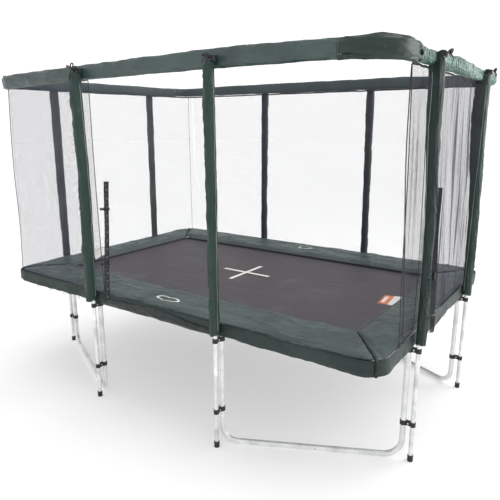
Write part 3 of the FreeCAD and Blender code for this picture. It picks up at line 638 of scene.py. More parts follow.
for name, (side, top_twist, foot_twist, _) in POLE_SLEEVES.items():
    axis_x, axis_y = pole_axis(name)
    (ox, oy), (tx, ty) = SIDES[side]
    rows, columns = 170, 52
    height = np.linspace(0, 1, rows)[:, None]
    twist = np.radians(foot_twist + (top_twist - foot_twist) * height)
    turn = np.linspace(0, 2 * PI, columns + 1) + PI / 2 + twist
    turn = (turn + PI) % (2 * PI) - PI
    out, across = sleeve_section(name, height, turn)
    ragged = 0.010 * noise(turn * 1.3, 0.2, 60 + len(name)) * np.clip(1 - height * 25, 0, 1)
    z = SLEEVE_LOW + (SLEEVE_HIGH - SLEEVE_END - SLEEVE_LOW) * height + ragged
    grid = stacked(axis_x + ox * out + tx * across, axis_y + oy * out + ty * across, z)
    length = (SLEEVE_HIGH - SLEEVE_LOW) * height
    inside = np.where(np.arange(columns) < columns // 2, 1, 0)
    shape = Shape()
    index = shape.surface(grid, metres(length[:, 0], np.linspace(0, 0.24, columns + 1)), inside,
                          np.minimum(length, 1.0), close_columns=True)
    shape.cap(index[-1][:-1], 3)
    # the seam where green meets grey stands up as a narrow piping
    for column in (0, columns // 2):
        line = grid[3:-8, column]
        away = (line - (axis_x, axis_y, 0)) * (1, 1, 0)
        away /= np.linalg.norm(away, axis=1)[:, None]
        shape.tube(line + away * 0.0012, 0.0019, 6, 2)
    # the front pole of the right side takes the darker copy of the cloth, painted shade
    sleeve = shape.make("pole_sleeve_" + name, [
        cloth_pole_painted_shade if name == "right_front" else cloth_pole,
        # the left poles' inner faces take the paler copy, painted light
        cloth_back_painted_light if name.startswith("left") else cloth_back, piping, cord_black])
    attach(sleeve, "frame", "pole_sleeves_" + side)

# ---------------------------------------------------------------- covers over the top rail

RAIL_OUT_X, RAIL_OUT_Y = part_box("rail_sleeve_right")[1].x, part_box("rail_sleeve_back")[1].y
RAIL_LOW, RAIL_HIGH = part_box("rail_sleeve_front")[0].z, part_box("rail_sleeve_front")[1].z
RAIL_DEPTH = 0.028
RAIL_X, RAIL_Y = RAIL_OUT_X - RAIL_DEPTH, RAIL_OUT_Y - RAIL_DEPTH
RAIL_BEND = 0.15


def rim_path(half_x, half_y, bend, start, end, step):
    """Points and outward directions along a rounded rectangle, anticlockwise. A place is a side
    and the run from its middle, which goes on round the bends."""
    order, halves = list(SIDES), (half_x, half_y)
    lengths = [half - bend + bend * PI / 4 for half in halves]
    first, last = (order.index(side) * sum(lengths) + at for side, at in (start, end))
    if last < first:
        last += 4 * sum(lengths)
    run = np.linspace(first, last, max(2, int((last - first) / step) + 1))
    points, normals = np.zeros((len(run), 2)), np.zeros((len(run), 2))
    for k in range(-1, 8):
        off = run - k * sum(lengths)
        here = np.abs(off) <= lengths[k % 2] + 1e-9
        off, straight = off[here], halves[k % 2] - bend
        angle = np.maximum(np.abs(off) - straight, 0) / bend
        along = np.sign(off) * (np.minimum(np.abs(off), straight) + bend * np.sin(angle))
        out = halves[(k + 1) % 2] - bend * (1 - np.cos(angle))
        (ox, oy), (tx, ty) = SIDES[order[k % 4]]
        points[here] = np.stack([tx * along + ox * out, ty * along + oy * out], -1)
        turned = np.sign(off) * np.sin(angle)
        normals[here] = np.stack([ox * np.cos(angle) + tx * turned, oy * np.cos(angle) + ty * turned], -1)
    return points, normals


def rail_cover(name, node, start, end, step, seed, green, tops, lows, puff=0.0, ripple=0.003, gather=0.0,
               flare=0.0):
    """tops and lows are heights of the upper and lower edge, each after a distance along the cover."""
    points, normals = rim_path(RAIL_X, RAIL_Y, RAIL_BEND, start, end, step)
    run = distances(points)
    columns = 44
    s, turn = run[:, None], np.linspace(0, 2 * PI, columns + 1)
    # turn 0 faces outward, a quarter turn is the top
    out, up = squared(np.cos(turn), 0.75), squared(np.sin(turn), 0.8)
    middle = (RAIL_HIGH + RAIL_LOW) / 2
    high = np.interp(s, *zip(*tops)) - middle - 0.002 + 0.003 * folds(s * 5, 1.5, seed + 1)
    low = middle - np.interp(s, *zip(*lows)) - 0.001 + 0.003 * folds(s * 6, 7.5, seed + 2)
    fold = ripple * folds(s * 7 + up, turn * 0.9 + s * 4, seed + 3)
    fold = fold + ripple * 2.2 * creases(s * 6 + up * 1.5, turn * 1.1 - s * 3, seed + 4)
    if gather:
        phase = s * 55 + 2.2 * noise(s * 4, up * 0.8, seed + 5) + 1.5 * up
        fold = fold + gather * (1 - np.abs(np.sin(phase))) * (1 + 0.5 * noise(s * 9, 0.5, seed + 6))
    fold = fold + puff * (0.6 + 0.4 * noise(s * 5, turn, seed + 7))
    fold = fold * np.where(out > 0, 1.0, 0.15)
    wide = out * (RAIL_DEPTH - 0.001) + flare * out * np.clip(1 - s / 0.08, 0, 1)
    x, y = (points[:, None] + normals[:, None] * (wide + fold)[..., None]).transpose(2, 0, 1)
    grid = stacked(x, y, middle + np.where(up > 0, up * high, up * low) + 0.3 * fold * up)
    shape = Shape()
    inside = np.cos((turn[:-1] + turn[1:]) / 2) < -0.12
    shape.surface(grid, metres(run, np.linspace(0, 0.33, columns + 1)), np.where(inside, 1, 0),
                  np.minimum(np.minimum(s, run[-1] - s), 1.0), close_columns=True)
    # a sewn ridge runs along the bottom edge
    shape.tube(grid[1:-1, columns * 3 // 4] - (0, 0, 0.0005), 0.0026, 6)
    cover = solid(shape.make(name, [green, cloth_rail_inside]), 0.0018)
    attach(cover, "frame", node)


rail_cover("rail_cover_front", "rail_sleeve_front", ("front", -1.80), ("front", 1.52), 0.018, 100, cloth_rail,
           ((0.0, 2.722), (0.18, 2.724), (0.96, 2.744), (2.36, 2.772), (2.72, 2.769), (3.32, 2.757)),
           ((0.0, 2.614), (0.16, 2.614), (1.01, 2.638), (2.35, 2.652), (2.72, 2.654), (3.32, 2.649)),
           flare=0.008)
# the right side's cover takes the lighter copy of the rail cloth, painted highlight
rail_cover("rail_cover_right", "rail_sleeve_right", ("right", -0.95), ("back", -1.55), 0.008, 140,
           cloth_rail_painted_light,
           ((0.0, 2.724), (0.42, 2.730), (0.88, 2.748), (1.44, 2.728), (1.78, 2.719), (2.2, 2.74)),
           ((0.0, 2.649), (1.9, 2.641)), ripple=0.004, gather=0.012)
rail_cover("rail_cover_back", "rail_sleeve_back", ("back", -1.58), ("left", -1.0), 0.018, 180, cloth_rail,
           ((0.0, 2.742), (0.5, 2.756), (2.7, 2.756), (3.8, 2.738)),
           ((0.0, 2.648), (3.4, 2.656), (3.8, 2.64)))
rail_cover("rail_cover_left", "rail_sleeve_left", ("left", -1.03), ("left", 1.2), 0.018, 220, cloth_rail,
           ((0.0, 2.738), (2.2, 2.724)), ((0.0, 2.636), (2.2, 2.622)))
rail_cover("rail_cover_end", "", ("left", 1.17), ("front", -1.775), 0.008, 240, cloth_corner,
           ((0.0, 2.727), (0.2, 2.730)), ((0.0, 2.618), (0.2, 2.610)), puff=0.003, ripple=0.005, gather=0.004)
rail_cover("rail_cover_corner", "", ("front", 1.49), ("right", -0.92), 0.009, 260, cloth_corner,
           ((0.0, 2.757), (0.24, 2.757), (0.34, 2.752), (0.72, 2.728)),
           ((0.0, 2.647), (0.32, 2.634), (0.72, 2.646)), puff=0.005, ripple=0.006)

# ---------------------------------------------------------------- ties at the pole tops


def tie(name, place, outward, seed, size):
    """A black cord wound round a pole top, and a bow of that size with two tails."""
    shape = Shape()
    (ox, oy), (tx, ty) = outward
    centre = np.array(place)
    knot = centre + (ox * 0.036, oy * 0.036, 0.012)

    def cord(across, out, up, radius, sides):
        shape.tube(knot + stacked(tx * across + ox * out, ty * across + oy * out, up), radius, sides)

    angle = full_turn(24)
    for turn in range(3):
        ring = stacked((ox * np.cos(angle) + tx * np.sin(angle)) * 0.024,
                       (oy * np.cos(angle) + ty * np.sin(angle)) * 0.024,
                       0.011 * turn + 0.004 * np.sin(angle * 2 + seed + turn))
        shape.tube(centre + ring, 0.0064, 7, closed=True)
    t = np.linspace(0, 1, 25)
    for k, (lean, tall) in enumerate(((-1.0, 0.9), (0.35, 1.1), (1.1, 0.6))):
        spread = 0.032 * size * np.sin(PI * t) * (1 + 0.2 * math.sin(seed + k))
        cord(spread * lean + 0.016 * size * np.sin(2 * PI * t),
             0.02 * np.sin(PI * t) + 0.006 * np.sin(2 * PI * t + k),
             0.034 * size * tall * np.sin(PI * t) * (1 - 0.3 * abs(lean)), 0.0048, 6)
    for sign in (-1, 1):
        swing = sign * (0.03 + 0.014 * math.sin(seed + sign)) * size
        fall = (0.05 + 0.02 * math.cos(seed * 2 + sign)) * size
        cord(swing * t, 0.022 * np.sin(t * 2), -fall * t ** 1.5, 0.0044 - 0.0012 * t, 6)
    across = 2 * t - 1
    cord(0.012 * across, 0.008, 0 * t, 0.0105 * np.sqrt(np.clip(1 - across ** 2, 0.05, 1)), 8)
    attach(shape.make(name, [cord_black]), "frame")


for number, (name, facts) in enumerate(POLE_SLEEVES.items()):
    tie("tie_" + name, (*pole_axis(name), SLEEVE_HIGH - 0.03), SIDES[facts[0]], number * 1.1,
        1.25 if name == "front_left" else 0.7)

# ---------------------------------------------------------------- safety pad and its skirt

PAD_OUT_X, PAD_OUT_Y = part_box("pad_right")[1].x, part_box("pad_back")[1].y
PAD_TOP, SKIRT_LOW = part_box("pad_front")[1].z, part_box("pad_front")[0].z
PAD_IN_X, PAD_IN_Y = 1.498, 0.834
MAT_TOP, MAT_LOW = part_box("mat")[1].z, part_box("mat")[0].z
PAD_THICK, PAD_INNER_BEND, PAD_OUTER_BEND = 0.025, 0.04, 0.15
PAD_MIDDLE = PAD_TOP - PAD_THICK / 2
PAD_DROOP, DROOP_WIDTH = 0.0165, 0.08  # the inner edge lies lower than the rest
PIPING_DROP = 0.012                    # from the pad's top down to the top of the skirt


def rounded(side, half_x, half_y, bend, share):
    """Places along and outward on a rounded rectangle, for a share from -1 to 1 of that side,
    which runs from the middle of one corner to the middle of the next."""
    half, out = (half_x, half_y) if side in LONG else (half_y, half_x)
    straight = half - bend
    run = np.abs(share) * (straight + bend * PI / 4)
    angle = np.maximum(run - straight, 0) / bend
    along = np.minimum(run, straight) + bend * np.sin(angle)
    return np.sign(share) * along, out - bend * (1 - np.cos(angle))


def droop(from_inner_edge):
    return PAD_DROOP * np.clip(1 - from_inner_edge / DROOP_WIDTH, 0, 1) ** 1.5


def swell(piece, voxel, pressure, frames, cap):
    """Remeshes a closed piece, blows it up with Cloth and keeps each point within cap of its place."""
    scene = bpy.context.scene
    remesh = piece.modifiers.new("remesh", "REMESH")
    remesh.mode = "VOXEL"
    remesh.voxel_size = voxel
    for step in ("remesh", "cloth"):
        if step == "cloth":
            cloth = piece.modifiers.new("cloth", "CLOTH")
            cloth.settings.quality = 4
            cloth.settings.mass = 0.3
            cloth.settings.tension_stiffness = cloth.settings.compression_stiffness = 12
            cloth.settings.bending_stiffness = 0.4
            cloth.settings.use_pressure = True
            cloth.settings.uniform_pressure_force = pressure
            cloth.settings.effector_weights.gravity = 0
            cloth.point_cache.frame_start, cloth.point_cache.frame_end = 1, frames
            for number in range(1, frames + 1):
                scene.frame_set(number)
        graph = bpy.context.evaluated_depsgraph_get()
        result = bpy.data.meshes.new_from_object(piece.evaluated_get(graph))
        if step == "cloth":
            before = read(piece.data.vertices, "co")
            move = read(result.vertices, "co") - before
            far = np.maximum(np.linalg.norm(move, axis=1) / cap, 1)[:, None]
            result.vertices.foreach_set("co", (before + move / far).ravel())
        piece.modifiers.clear()
        piece.data = result
    scene.frame_set(1)


def pad(side, seed):
    """One side's padded cover with its skirt and piping. Cloth fills the cover out, then the folds,
    tufted seams and joints between the foam blocks are worked into the mesh."""
    (ox, oy), (tx, ty) = SIDES[side]
    rows = 260 if side in LONG else 190
    share = np.linspace(-1.0004, 1.0004, rows)
    inner, inner_out = rounded(side, PAD_IN_X, PAD_IN_Y, PAD_INNER_BEND, share[:, None])
    outer, outer_out = rounded(side, PAD_OUT_X - 0.005, PAD_OUT_Y - 0.005, PAD_OUTER_BEND, share[:, None])
    angle = np.linspace(0, 2 * PI, 61)
    across = 0.5 - 0.5 * np.cos(angle)
    rise = squared(np.sin(angle), 0.3) * (PAD_THICK / 2 - 0.0015)
    grid = on_side(side, inner + (outer - inner) * across, inner_out + (outer_out - inner_out) * across,
                   PAD_MIDDLE + rise - droop(across * (PAD_OUT_X - PAD_IN_X)))
    shape = Shape()
    index = shape.surface(grid, metres(share, angle), close_columns=True)
    shape.close(index)
    piece = shape.make("pad_cover_" + side, [cloth_pad])
    swell(piece, voxel=0.011, pressure=4.0, frames=14, cap=0.009)
    smoother = piece.modifiers.new("smoother", "SUBSURF")
    smoother.levels = smoother.render_levels = 1
    mesh = piece.data
    points = read(mesh.vertices, "co")
    along = points[:, 0] * tx + points[:, 1] * ty
    out = points[:, 0] * ox + points[:, 1] * oy
    half, width_in, width_out, joint = ((PAD_IN_X, PAD_IN_Y, PAD_OUT_Y, 0.93) if side in LONG
                                        else (PAD_IN_Y, PAD_IN_X, PAD_OUT_X, 0.62))
    share_out = np.clip((out - width_in) / (width_out - width_in), 0, 1)
    upper = points[:, 2] > PAD_MIDDLE - droop(out - width_in)
    sewn = np.minimum.reduce([np.abs(along - k * joint) for k in (-1, 0, 1)])
    sink = 0.007 * np.exp(-(sewn / 0.012) ** 2) + 0.004 * np.exp(-((share_out - 0.05) * 0.4 / 0.010) ** 2)
    wave = 0.0065 * folds(along * 2.1, out * 5, seed) + 0.011 * creases(along * 2.3, out * 6, seed + 3)
    fine = 0.0045 * creases(along * 9 + out * 4, out * 13, seed + 6)
    edge_soft = np.clip(share_out * 9, 0, 1) * np.clip((1 - share_out) * 9, 0, 1)
    mitre = np.exp(-(np.minimum(np.abs(half + (out - width_in) - np.abs(along)), 0.2) / 0.016) ** 2)
    points[:, 2] += np.where(upper, (wave + fine - 0.004) * edge_soft - sink - 0.011 * mitre, -0.3 * sink)
    mesh.vertices.foreach_set("co", points.ravel())
    mesh.update()
    edge = mesh.attributes.get("edge") or mesh.attributes.new("edge", "FLOAT", "POINT")
    edge.data.foreach_set("value", np.minimum(sewn, share_out * (width_out - width_in)))
    layer = mesh.uv_layers.get("metres") or mesh.uv_layers.new(name="metres")
    corners = read(mesh.loops, "vertex_index", 1).astype(int).ravel()
    layer.data.foreach_set("uv", stacked(along, out)[corners].ravel())
    mesh.materials.clear()
    mesh.materials.append(cloth_pad)
    mesh.polygons.foreach_set("use_smooth", [True] * len(mesh.polygons))
    attach(piece, "frame", "pad_" + side)

    # the skirt hangs from a piping along the outer edge; both take the darker skirt cloth, painted shade
    shape = Shape()
    share = np.linspace(-1, 1, rows)
    along, out = rounded(side, PAD_OUT_X, PAD_OUT_Y, PAD_OUTER_BEND, share)
    run = np.concatenate([[0], np.cumsum(np.hypot(np.diff(along), np.diff(out)))])
    s, far, drop = along[:, None], out[:, None], np.linspace(0, 1, 15)
    hang = 0.0035 * np.sin(PI * drop ** 0.8) + drop * 0.006 * folds(s * 7, drop * 1.2, seed + 9)
    hang = hang + 0.009 * drop * creases(s * 5, drop * 0.8, seed + 12)
    low = SKIRT_LOW + 0.007 + 0.008 * folds(s * 5, 0.5, seed + 15)
    z = PAD_TOP - PIPING_DROP + (low - PAD_TOP + PIPING_DROP) * drop
    grid = on_side(side, s + np.sign(s) * hang * (1 - far / np.max(out)) * 2, far + hang + 0.001, z)
    depth = PAD_TOP - PIPING_DROP - SKIRT_LOW
    shape.surface(grid, metres(run, drop * depth), 0, (1 - drop) * depth)
    skirt = solid(shape.make("pad_skirt_" + side, [cloth_skirt_painted_shade, cloth_under]), 0.002, inner=1)
    attach(skirt, "frame", "pad_" + side)
    rim = Shape()
    rim_z = PAD_TOP - 0.010 + 0.001 * folds(along * 5, 1.5, seed + 20)
    rim.tube(on_side(side, along, out + 0.0005, rim_z), 0.0032, 7)
    attach(rim.make("pad_piping_" + side, [cloth_skirt_painted_shade]), "frame")


for number, side in enumerate(SIDES):
    pad(side, 300 + 40 * number)

# a dark tape closes the pads' inner edge down to the mat: a dark sheet put where the gap under the pad is in
# shade, painted shade
for number, side in enumerate(SIDES):
    tape = Shape()
    along, out = rounded(side, PAD_IN_X + 0.005, PAD_IN_Y + 0.005, PAD_INNER_BEND, np.linspace(-1, 1, 160))
    foot = MAT_TOP + 0.0022 + 0.0008 * noise(along * 20, 0.5, 460 + number)
    up = np.array([0, 0.008, 0.017, 0.025])
    strip = on_side(side, along[:, None], out[:, None] + (0.0, 0.0015, 0.004, 0.012),
                    foot[:, None] + (0.0, 0.008, 0.017, 0.021))
    tape.surface(strip, metres(along, up), 0, up)
    attach(solid(tape.make("pad_inner_shade_tape_" + side, [tape_black]), 0.0012), "frame")

# a dark binding closes the joint at each corner
for number, (sx, sy) in enumerate(((-1, -1), (1, -1), (1, 1), (-1, 1))):
    binding = Shape()
    t = np.linspace(0.0, 1.0, 60)
    arc = PAD_OUTER_BEND * (1 - math.sqrt(0.5))
    x = PAD_IN_X + 0.01 + (PAD_OUT_X - arc + 0.002 - PAD_IN_X - 0.01) * t
    y = PAD_IN_Y + 0.01 + (PAD_OUT_Y - arc + 0.002 - PAD_IN_Y - 0.01) * t
    z = PAD_TOP - 0.003 - PAD_DROOP * np.clip(1 - t * 4, 0, 1) - 0.012 * np.clip(t * 12 - 11, 0, 1) ** 2
    z = z + 0.002 * noise(t * 12, 0.5, 480 + number)
    fall = np.linspace(PAD_TOP - 0.03, SKIRT_LOW + 0.004, 8)
    binding.tube(np.concatenate([stacked(sx * x, sy * y, z),
                                 stacked(sx * (x[-1] + 0.003), sy * (y[-1] + 0.003), fall)]), 0.0098, 8)
    attach(binding.make("pad_binding_%d" % number, [cloth_under]), "frame")

# ---------------------------------------------------------------- mat, rings and springs

MAT_X, MAT_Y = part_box("mat")[1].x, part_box("mat")[1].y
MAT_BEND = 0.07
FRAME_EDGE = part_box("frame_rail_right")[1].x - 0.048
SPRING_SPAN = FRAME_EDGE - MAT_X
SPRINGS = {"front": 28, "back": 28, "right": 16, "left": 16}
SPRING_PITCH = 0.1
SPRING_Z = MAT_TOP - 0.0015
TAB_LENGTH = 0.053


def sector(piece):
    """Bakes the piece's placement into its mesh."""
    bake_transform(piece)


def spring_shape():
    """One spring on its own axis: a hook, 34 turns of wire, a neck into the frame."""
    shape = Shape()
    turns, per_turn = 34, 9
    t = np.linspace(0, 1, turns * per_turn + 1)
    radius = 0.0094 * np.clip(np.minimum(t, 1 - t) * 9 + 0.35, 0, 1)
    start, stop = 0.036, 0.214
    shape.tube(stacked(start + (stop - start) * t, radius * np.cos(2 * PI * turns * t),
                       radius * np.sin(2 * PI * turns * t)), 0.0016, 5, caps=False)
    angle = np.linspace(-0.2 * PI, 1.55 * PI, 15)
    shape.tube(stacked(0.027 + 0.0072 * np.cos(angle), 0, 0.0072 * np.sin(angle)), 0.0016, 6, caps=False)
    shape.tube([(0.213, 0.003, 0), (0.222, 0, 0), (0.24, 0, 0), (SPRING_SPAN + 0.002, 0, 0)], 0.0017, 6,
               caps=False)
    return shape


def ring_shape():
    """One V-ring: a wire triangle with round corners, its back bar inside the tab."""
    shape = Shape()
    angle = full_turn(24)
    shape.tube(stacked(0.011 + 0.013 * np.cos(angle), 0.015 * np.sin(angle) * (1 - 0.28 * np.cos(angle)), 0),
               0.002, 6, closed=True)
    return shape


spring, ring = ((np.concatenate(shape.points), np.array(shape.faces))
                for shape in (spring_shape(), ring_shape()))

for side, count in SPRINGS.items():
    springs, rings, sheet = Shape(), Shape(), Shape()
    out, half = (MAT_Y, MAT_X) if side in LONG else (MAT_X, MAT_Y)
    for k in range(count):
        station = (k - (count - 1) / 2) * SPRING_PITCH
        for shape, (points, faces) in ((springs, spring), (rings, ring)):
            x, y, z = points.T
            shape.add(on_side(side, station + y, out + x, SPRING_Z + z), faces, points[:, :2])
        # a tab of webbing holds the ring
        t, lines = np.linspace(0, 1, 7), np.array([-0.0125, 0.0, 0.0125])
        lift = 0.0022 + 0.0022 * np.clip((t - 0.75) * 4, 0, 1)
        for face in (1, -1):
            tab = on_side(side, station + lines * face, (out - 0.045 + TAB_LENGTH * t)[:, None],
                          (SPRING_Z + face * lift)[:, None])
            sheet.surface(tab, metres(TAB_LENGTH * t, lines), 1)
    # the mat itself, from its edge in to where the four parts meet
    share = np.linspace(-1, 1, 121 if side in LONG else 81)[:, None]
    along, edge_out = rounded(side, MAT_X, MAT_Y, MAT_BEND, share)
    ridge_half, ridge_out = (MAT_X - MAT_Y, 0.0) if side in LONG else (0.0, MAT_X - MAT_Y)
    steps = np.concatenate([np.linspace(0, 0.12, 9), np.linspace(0.16, 1, 22)])
    place_out = edge_out + (ridge_out - edge_out) * steps
    grid = on_side(side, along + (share * ridge_half - along) * steps, place_out, 0.0)
    wave = 0.0012 * folds(grid[..., 0] * 3, grid[..., 1] * 3, 470, 2)
    hem_depth = out - place_out
    for face, level in ((1, MAT_TOP), (-1, MAT_LOW)):
        layer = grid.copy()
        layer[..., 2] = level + wave * np.clip(hem_depth * 3, 0, 1) + face * 0.001 * (hem_depth < 0.05)
        sheet.surface(layer[::face], layer[::face, :, :2].copy(), 0, hem_depth[::face])
    rim = np.stack([grid[:, 0] + (0, 0, MAT_LOW - 0.001), grid[:, 0] + (0, 0, MAT_TOP + 0.001)], 1)
    sheet.surface(rim, metres(share[:, 0], [0, 0.003]), 1)
    cloth = sheet.make("mat_" + side, [mat_cloth, tape_mat], weld=True)
    for piece, node, slot in ((cloth, "mat", "woven_mat"),
                              (springs.make("springs_" + side, [steel_spring]), "springs", "spring_steel"),
                              (rings.make("mat_rings_" + side, [zinc]), "mat_rings", "zinc_fasteners")):
        sector(piece)
        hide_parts(node)


def lay_on(grid, side):
    """Sets the heights of a grid to just above the pad of that side."""
    piece = bpy.data.objects["pad_cover_" + side]
    tree = BVHTree.FromObject(piece, bpy.context.evaluated_depsgraph_get())
    for row in grid.reshape(-1, 3):
        found = tree.ray_cast((row[0], row[1], 2.0), (0, 0, -1))[0]
        row[2] = (found.z if found else PAD_TOP) + 0.0012
    return grid


def stitched_patch(name, side, corners, colours, on_mat):
    """A sewn patch of cloth: a quadrilateral laid just above the mat or the pad of that side."""
    shape = Shape()
    a, b, c, d = np.array(corners, float)
    u, v = np.linspace(0, 1, 25)[:, None], np.linspace(0, 1, 17)
    across, down = u[..., None], v[:, None]
    flat = (a * (1 - across) + b * across) * (1 - down) + (d * (1 - across) + c * across) * down
    width, depth = np.linalg.norm(b - a), np.linalg.norm(d - a)
    rim = np.minimum(np.minimum(u, 1 - u) * width, np.minimum(v, 1 - v) * depth)
    z = MAT_TOP + 0.0016 * np.clip(rim / 0.004, 0, 1)
    grid = np.dstack([flat, z + 0.0007 * folds(flat[..., 0] * 20, flat[..., 1] * 20, 77)])
    if not on_mat:
        grid = lay_on(grid, side)
    # the first material fills a band, apart from a panel in its middle
    middle_u, middle_v = (u[1:] + u[:-1]) / 2, (v[1:] + v[:-1]) / 2
    band = (middle_v < 0.58) & ~((np.abs(middle_u - 0.5) < 0.34) & (middle_v > 0.12) & (middle_v < 0.3))
    shape.surface(grid, metres(u[:, 0] * width, v * depth), np.where(band, 1, 0), rim)
    made = solid(shape.make(name, colours), 0.0012)
    if on_mat:
        sector(made)
    else:
        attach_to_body(made, "frame")


def label_cloth(name, colour, light):
    """Fine woven cloth with one row of stitches near its edge."""
    m = Material(name, Roughness=0.6)
    at = m.uv()
    u, v, _ = m.split(at)
    tone = m.mix(m.ramp(m.noise(at, 150, 3), 0.3, 0.7), srgb(*colour), srgb(*light))
    weave = m.math("MULTIPLY", m.wave(u, 0.002), m.wave(v, 0.002))
    sewn = m.stitches(u, 0.005, 0.008, 0.001)
    m.set(Base_Color=m.mix(sewn, tone, srgb(90, 90, 92)),
          Normal=m.bump(m.math("ADD", weave, sewn), 0.3, 0.0008))
    return m.made


pale = label_cloth("pale_patch_cloth", (214, 208, 204), (232, 228, 224))
orange = label_cloth("orange_patch_cloth", (196, 104, 62), (214, 128, 84))
stitched_patch("mat_patch_right", "right", [(1.350, 0.095), (1.372, -0.136), (1.514, -0.123), (1.491, 0.129)],
               [pale, orange], True)
stitched_patch("pad_patch_left", "left", [(-1.51, -0.58), (-1.55, -0.39), (-1.75, -0.25), (-1.82, -0.46)],
               [pale, pale], False)


def oval_mark(name, centre, size, side):
    """A plain oval outline of pale tape sewn on the pad."""
    shape = Shape()
    angle = np.linspace(0, 2 * PI, 49)
    hole = 0.78
    share = np.array([hole, 0.82, 0.96, 1.0])[:, None]
    ring = stacked(centre[0] + size[0] * share * np.cos(angle), centre[1] + size[1] * share * np.sin(angle),
                   PAD_TOP)
    shape.surface(lay_on(ring, side), metres([0, 0.004, 0.012, 0.016], angle * size[0]), close_columns=True)
    made = solid(shape.make(name, [tape_white]), 0.001)
    attach(made, "frame")


oval_mark("pad_mark_front", (0.02, -1.10), (0.12, 0.045), "front")
oval_mark("pad_mark_back", (0.08, 1.03), (0.09, 0.04), "back")

# ---------------------------------------------------------------- white cross on the mat

cross_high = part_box("mat_cross")[1]
TAPE_HALF = 0.019
cross = Shape()
arm, lines = np.linspace(-cross_high.x, cross_high.x, 61), np.linspace(-TAPE_HALF, TAPE_HALF, 9)
for turned in (False, True):
    level = cross_high.z + 0.0004 + (0.0007 if turned else 0) * (np.abs(arm) < 0.03)
    worn = 0.0012 * noise(arm * 40, 0.5, 5 + turned)
    grid = stacked(arm[:, None], lines + worn[:, None], level[:, None])
    if turned:
        grid = grid[..., [1, 0, 2]][::-1]
    cross.surface(grid, metres(arm, lines), 0, TAPE_HALF - np.abs(lines))
attach(solid(cross.make("mat_cross_tape", [tape_white]), 0.001), "mat", "mat_cross")

# ---------------------------------------------------------------- nets

NET_X, NET_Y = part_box("net_right")[1].x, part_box("net_back")[1].y
NET_LOW, NET_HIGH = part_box("net_left")[0].z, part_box("net_left")[1].z
NET_INSET = 0.003
NET_BEND = 0.153
NET_LEAN = 0.035
LEVELS = 73  # points up the net


def net(name, node, start, stop, seed, amplitude, gather, spacing, pitch=0.02, slack=1.0, low=NET_LOW,
        ropes=(), body="frame", veil=None, end_lean=0.0, cloth=net_cloth):
    """A hung net: soft vertical folds, a bound top edge and hem, and cords sewn along its free edges.
    It leans inward towards the top. veil is a second share of cover after each run along the net."""
    points, normals = rim_path(NET_X - NET_INSET, NET_Y - NET_INSET, NET_BEND, start, stop, pitch)
    run, high = distances(points), NET_HIGH + 0.02
    along, height = run[:, None], np.linspace(0, 1, LEVELS)
    middle = np.sin(PI * height) ** 0.5
    fold = noise(along / spacing + 1.1 * noise(along * 2, height * 1.7, seed + 4), height * 1.4, seed)
    fold = fold + 0.5 * noise(along / spacing * 2.3, height * 3, seed + 1)
    belly = noise(along * 0.9, height * 1.1, seed + 2)
    sway = amplitude * fold * (0.35 + 0.65 * middle) + 0.012 * middle * np.minimum(belly, 0)
    sway = np.minimum(sway - amplitude, 0.0) - NET_LEAN * np.clip((height - 0.05) / 0.95, 0, 1) ** 1.3
    drift = 0.25 * amplitude * noise(along * 9, height * 3, seed + 6)
    drift = drift + end_lean * height * np.clip(1 - (run[-1] - along) / 0.6, 0, 1) ** 2
    ahead = normals[:, ::-1] * (-1, 1)
    x, y = (points[:, None] + normals[:, None] * sway[..., None]
            + ahead[:, None] * drift[..., None]).transpose(2, 0, 1)
    ragged = 0.006 * noise(along * 13, 0.5, seed + 11) * np.clip(1 - height * 12, 0, 1)
    grid = stacked(x, y, low + (high - low) * height + ragged)
    shape = Shape()
    shape.surface(grid, metres(run * slack, height * (high - low)))
    slope = np.abs(np.gradient(fold, axis=0))
    slope = slope / (slope.max() + 1e-9)
    cover = gather * (0.8 + 0.5 * slope + 0.3 * noise(along * 5, height * 2, seed + 8))
    if veil:
        cover = cover * np.interp(along, *zip(*veil))
    cover = cover + 0.25 * np.exp(-(height / 0.03) ** 2)
    for level, width, drop in ((0, 0.020, 0.010), (LEVELS - 1, 0.014, 0.004)):
        uneven = 0.004 * noise(run * 16, 0.5 + level, seed + 11)
        x, y, z = grid[:, level, :, None].transpose(1, 0, 2)
        band = stacked(x, y, z + uneven[:, None] - drop + width * np.array([0, 0.5, 1]))
        shape.surface(band, metres(run * slack, [0, width / 2, width]), 1)
    for share, thick, lean in ropes:
        column = int(share * (len(run) - 1))
        rope = grid[column].copy()
        rope[:, :2] += ahead[column] * (lean * (1 - height))[:, None]
        shape.tube(rope, thick, 6, 2)
    made = shape.make(name, [cloth, tape_black, cord_black])
    full = np.zeros(len(made.data.vertices))
    full[:cover.size] = cover.ravel()
    made.data.attributes.new("gather", "FLOAT", "POINT").data.foreach_set("value", full)
    if body == "frame":
        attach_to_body(made, "frame")
    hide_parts(node)
    return made


NET_END = NET_X - NET_INSET - NET_BEND
DOOR_HINGE, DOOR_FREE = -0.92, -0.435  # places along the right side
DOOR_LOW = PAD_TOP + 0.018
net("net_panel_left", "net_left", ("back", NET_END), ("front", -NET_END), 500, 0.007, 0.02, 0.16,
    ropes=((0.03, 0.002, 0), (0.972, 0.0028, 0)))
net("net_panel_back", "net_back", ("back", -NET_END), ("back", NET_END), 520, 0.006, 0.01, 0.2)
net("net_panel_right", "net_right", ("right", DOOR_HINGE), ("back", -NET_END), 540, 0.016, 0.38, 0.05,
    pitch=0.007, slack=1.3, ropes=((0.0, 0.003, 0.0), (0.225, 0.005, 0.03), (0.25, 0.003, 0.05)),
    veil=((0.0, -0.2), (0.42, -0.2), (0.48, 1.5), (0.62, 1.05), (1.4, 0.95), (1.9, 0.4), (2.8, 0.1)),
    cloth=net_gathered)
net("net_panel_front", "net_front_flap", ("front", -NET_END), ("front", -0.545), 560, 0.007, 0.02, 0.14,
    ropes=((1.0, 0.003, 0),), end_lean=-0.08)
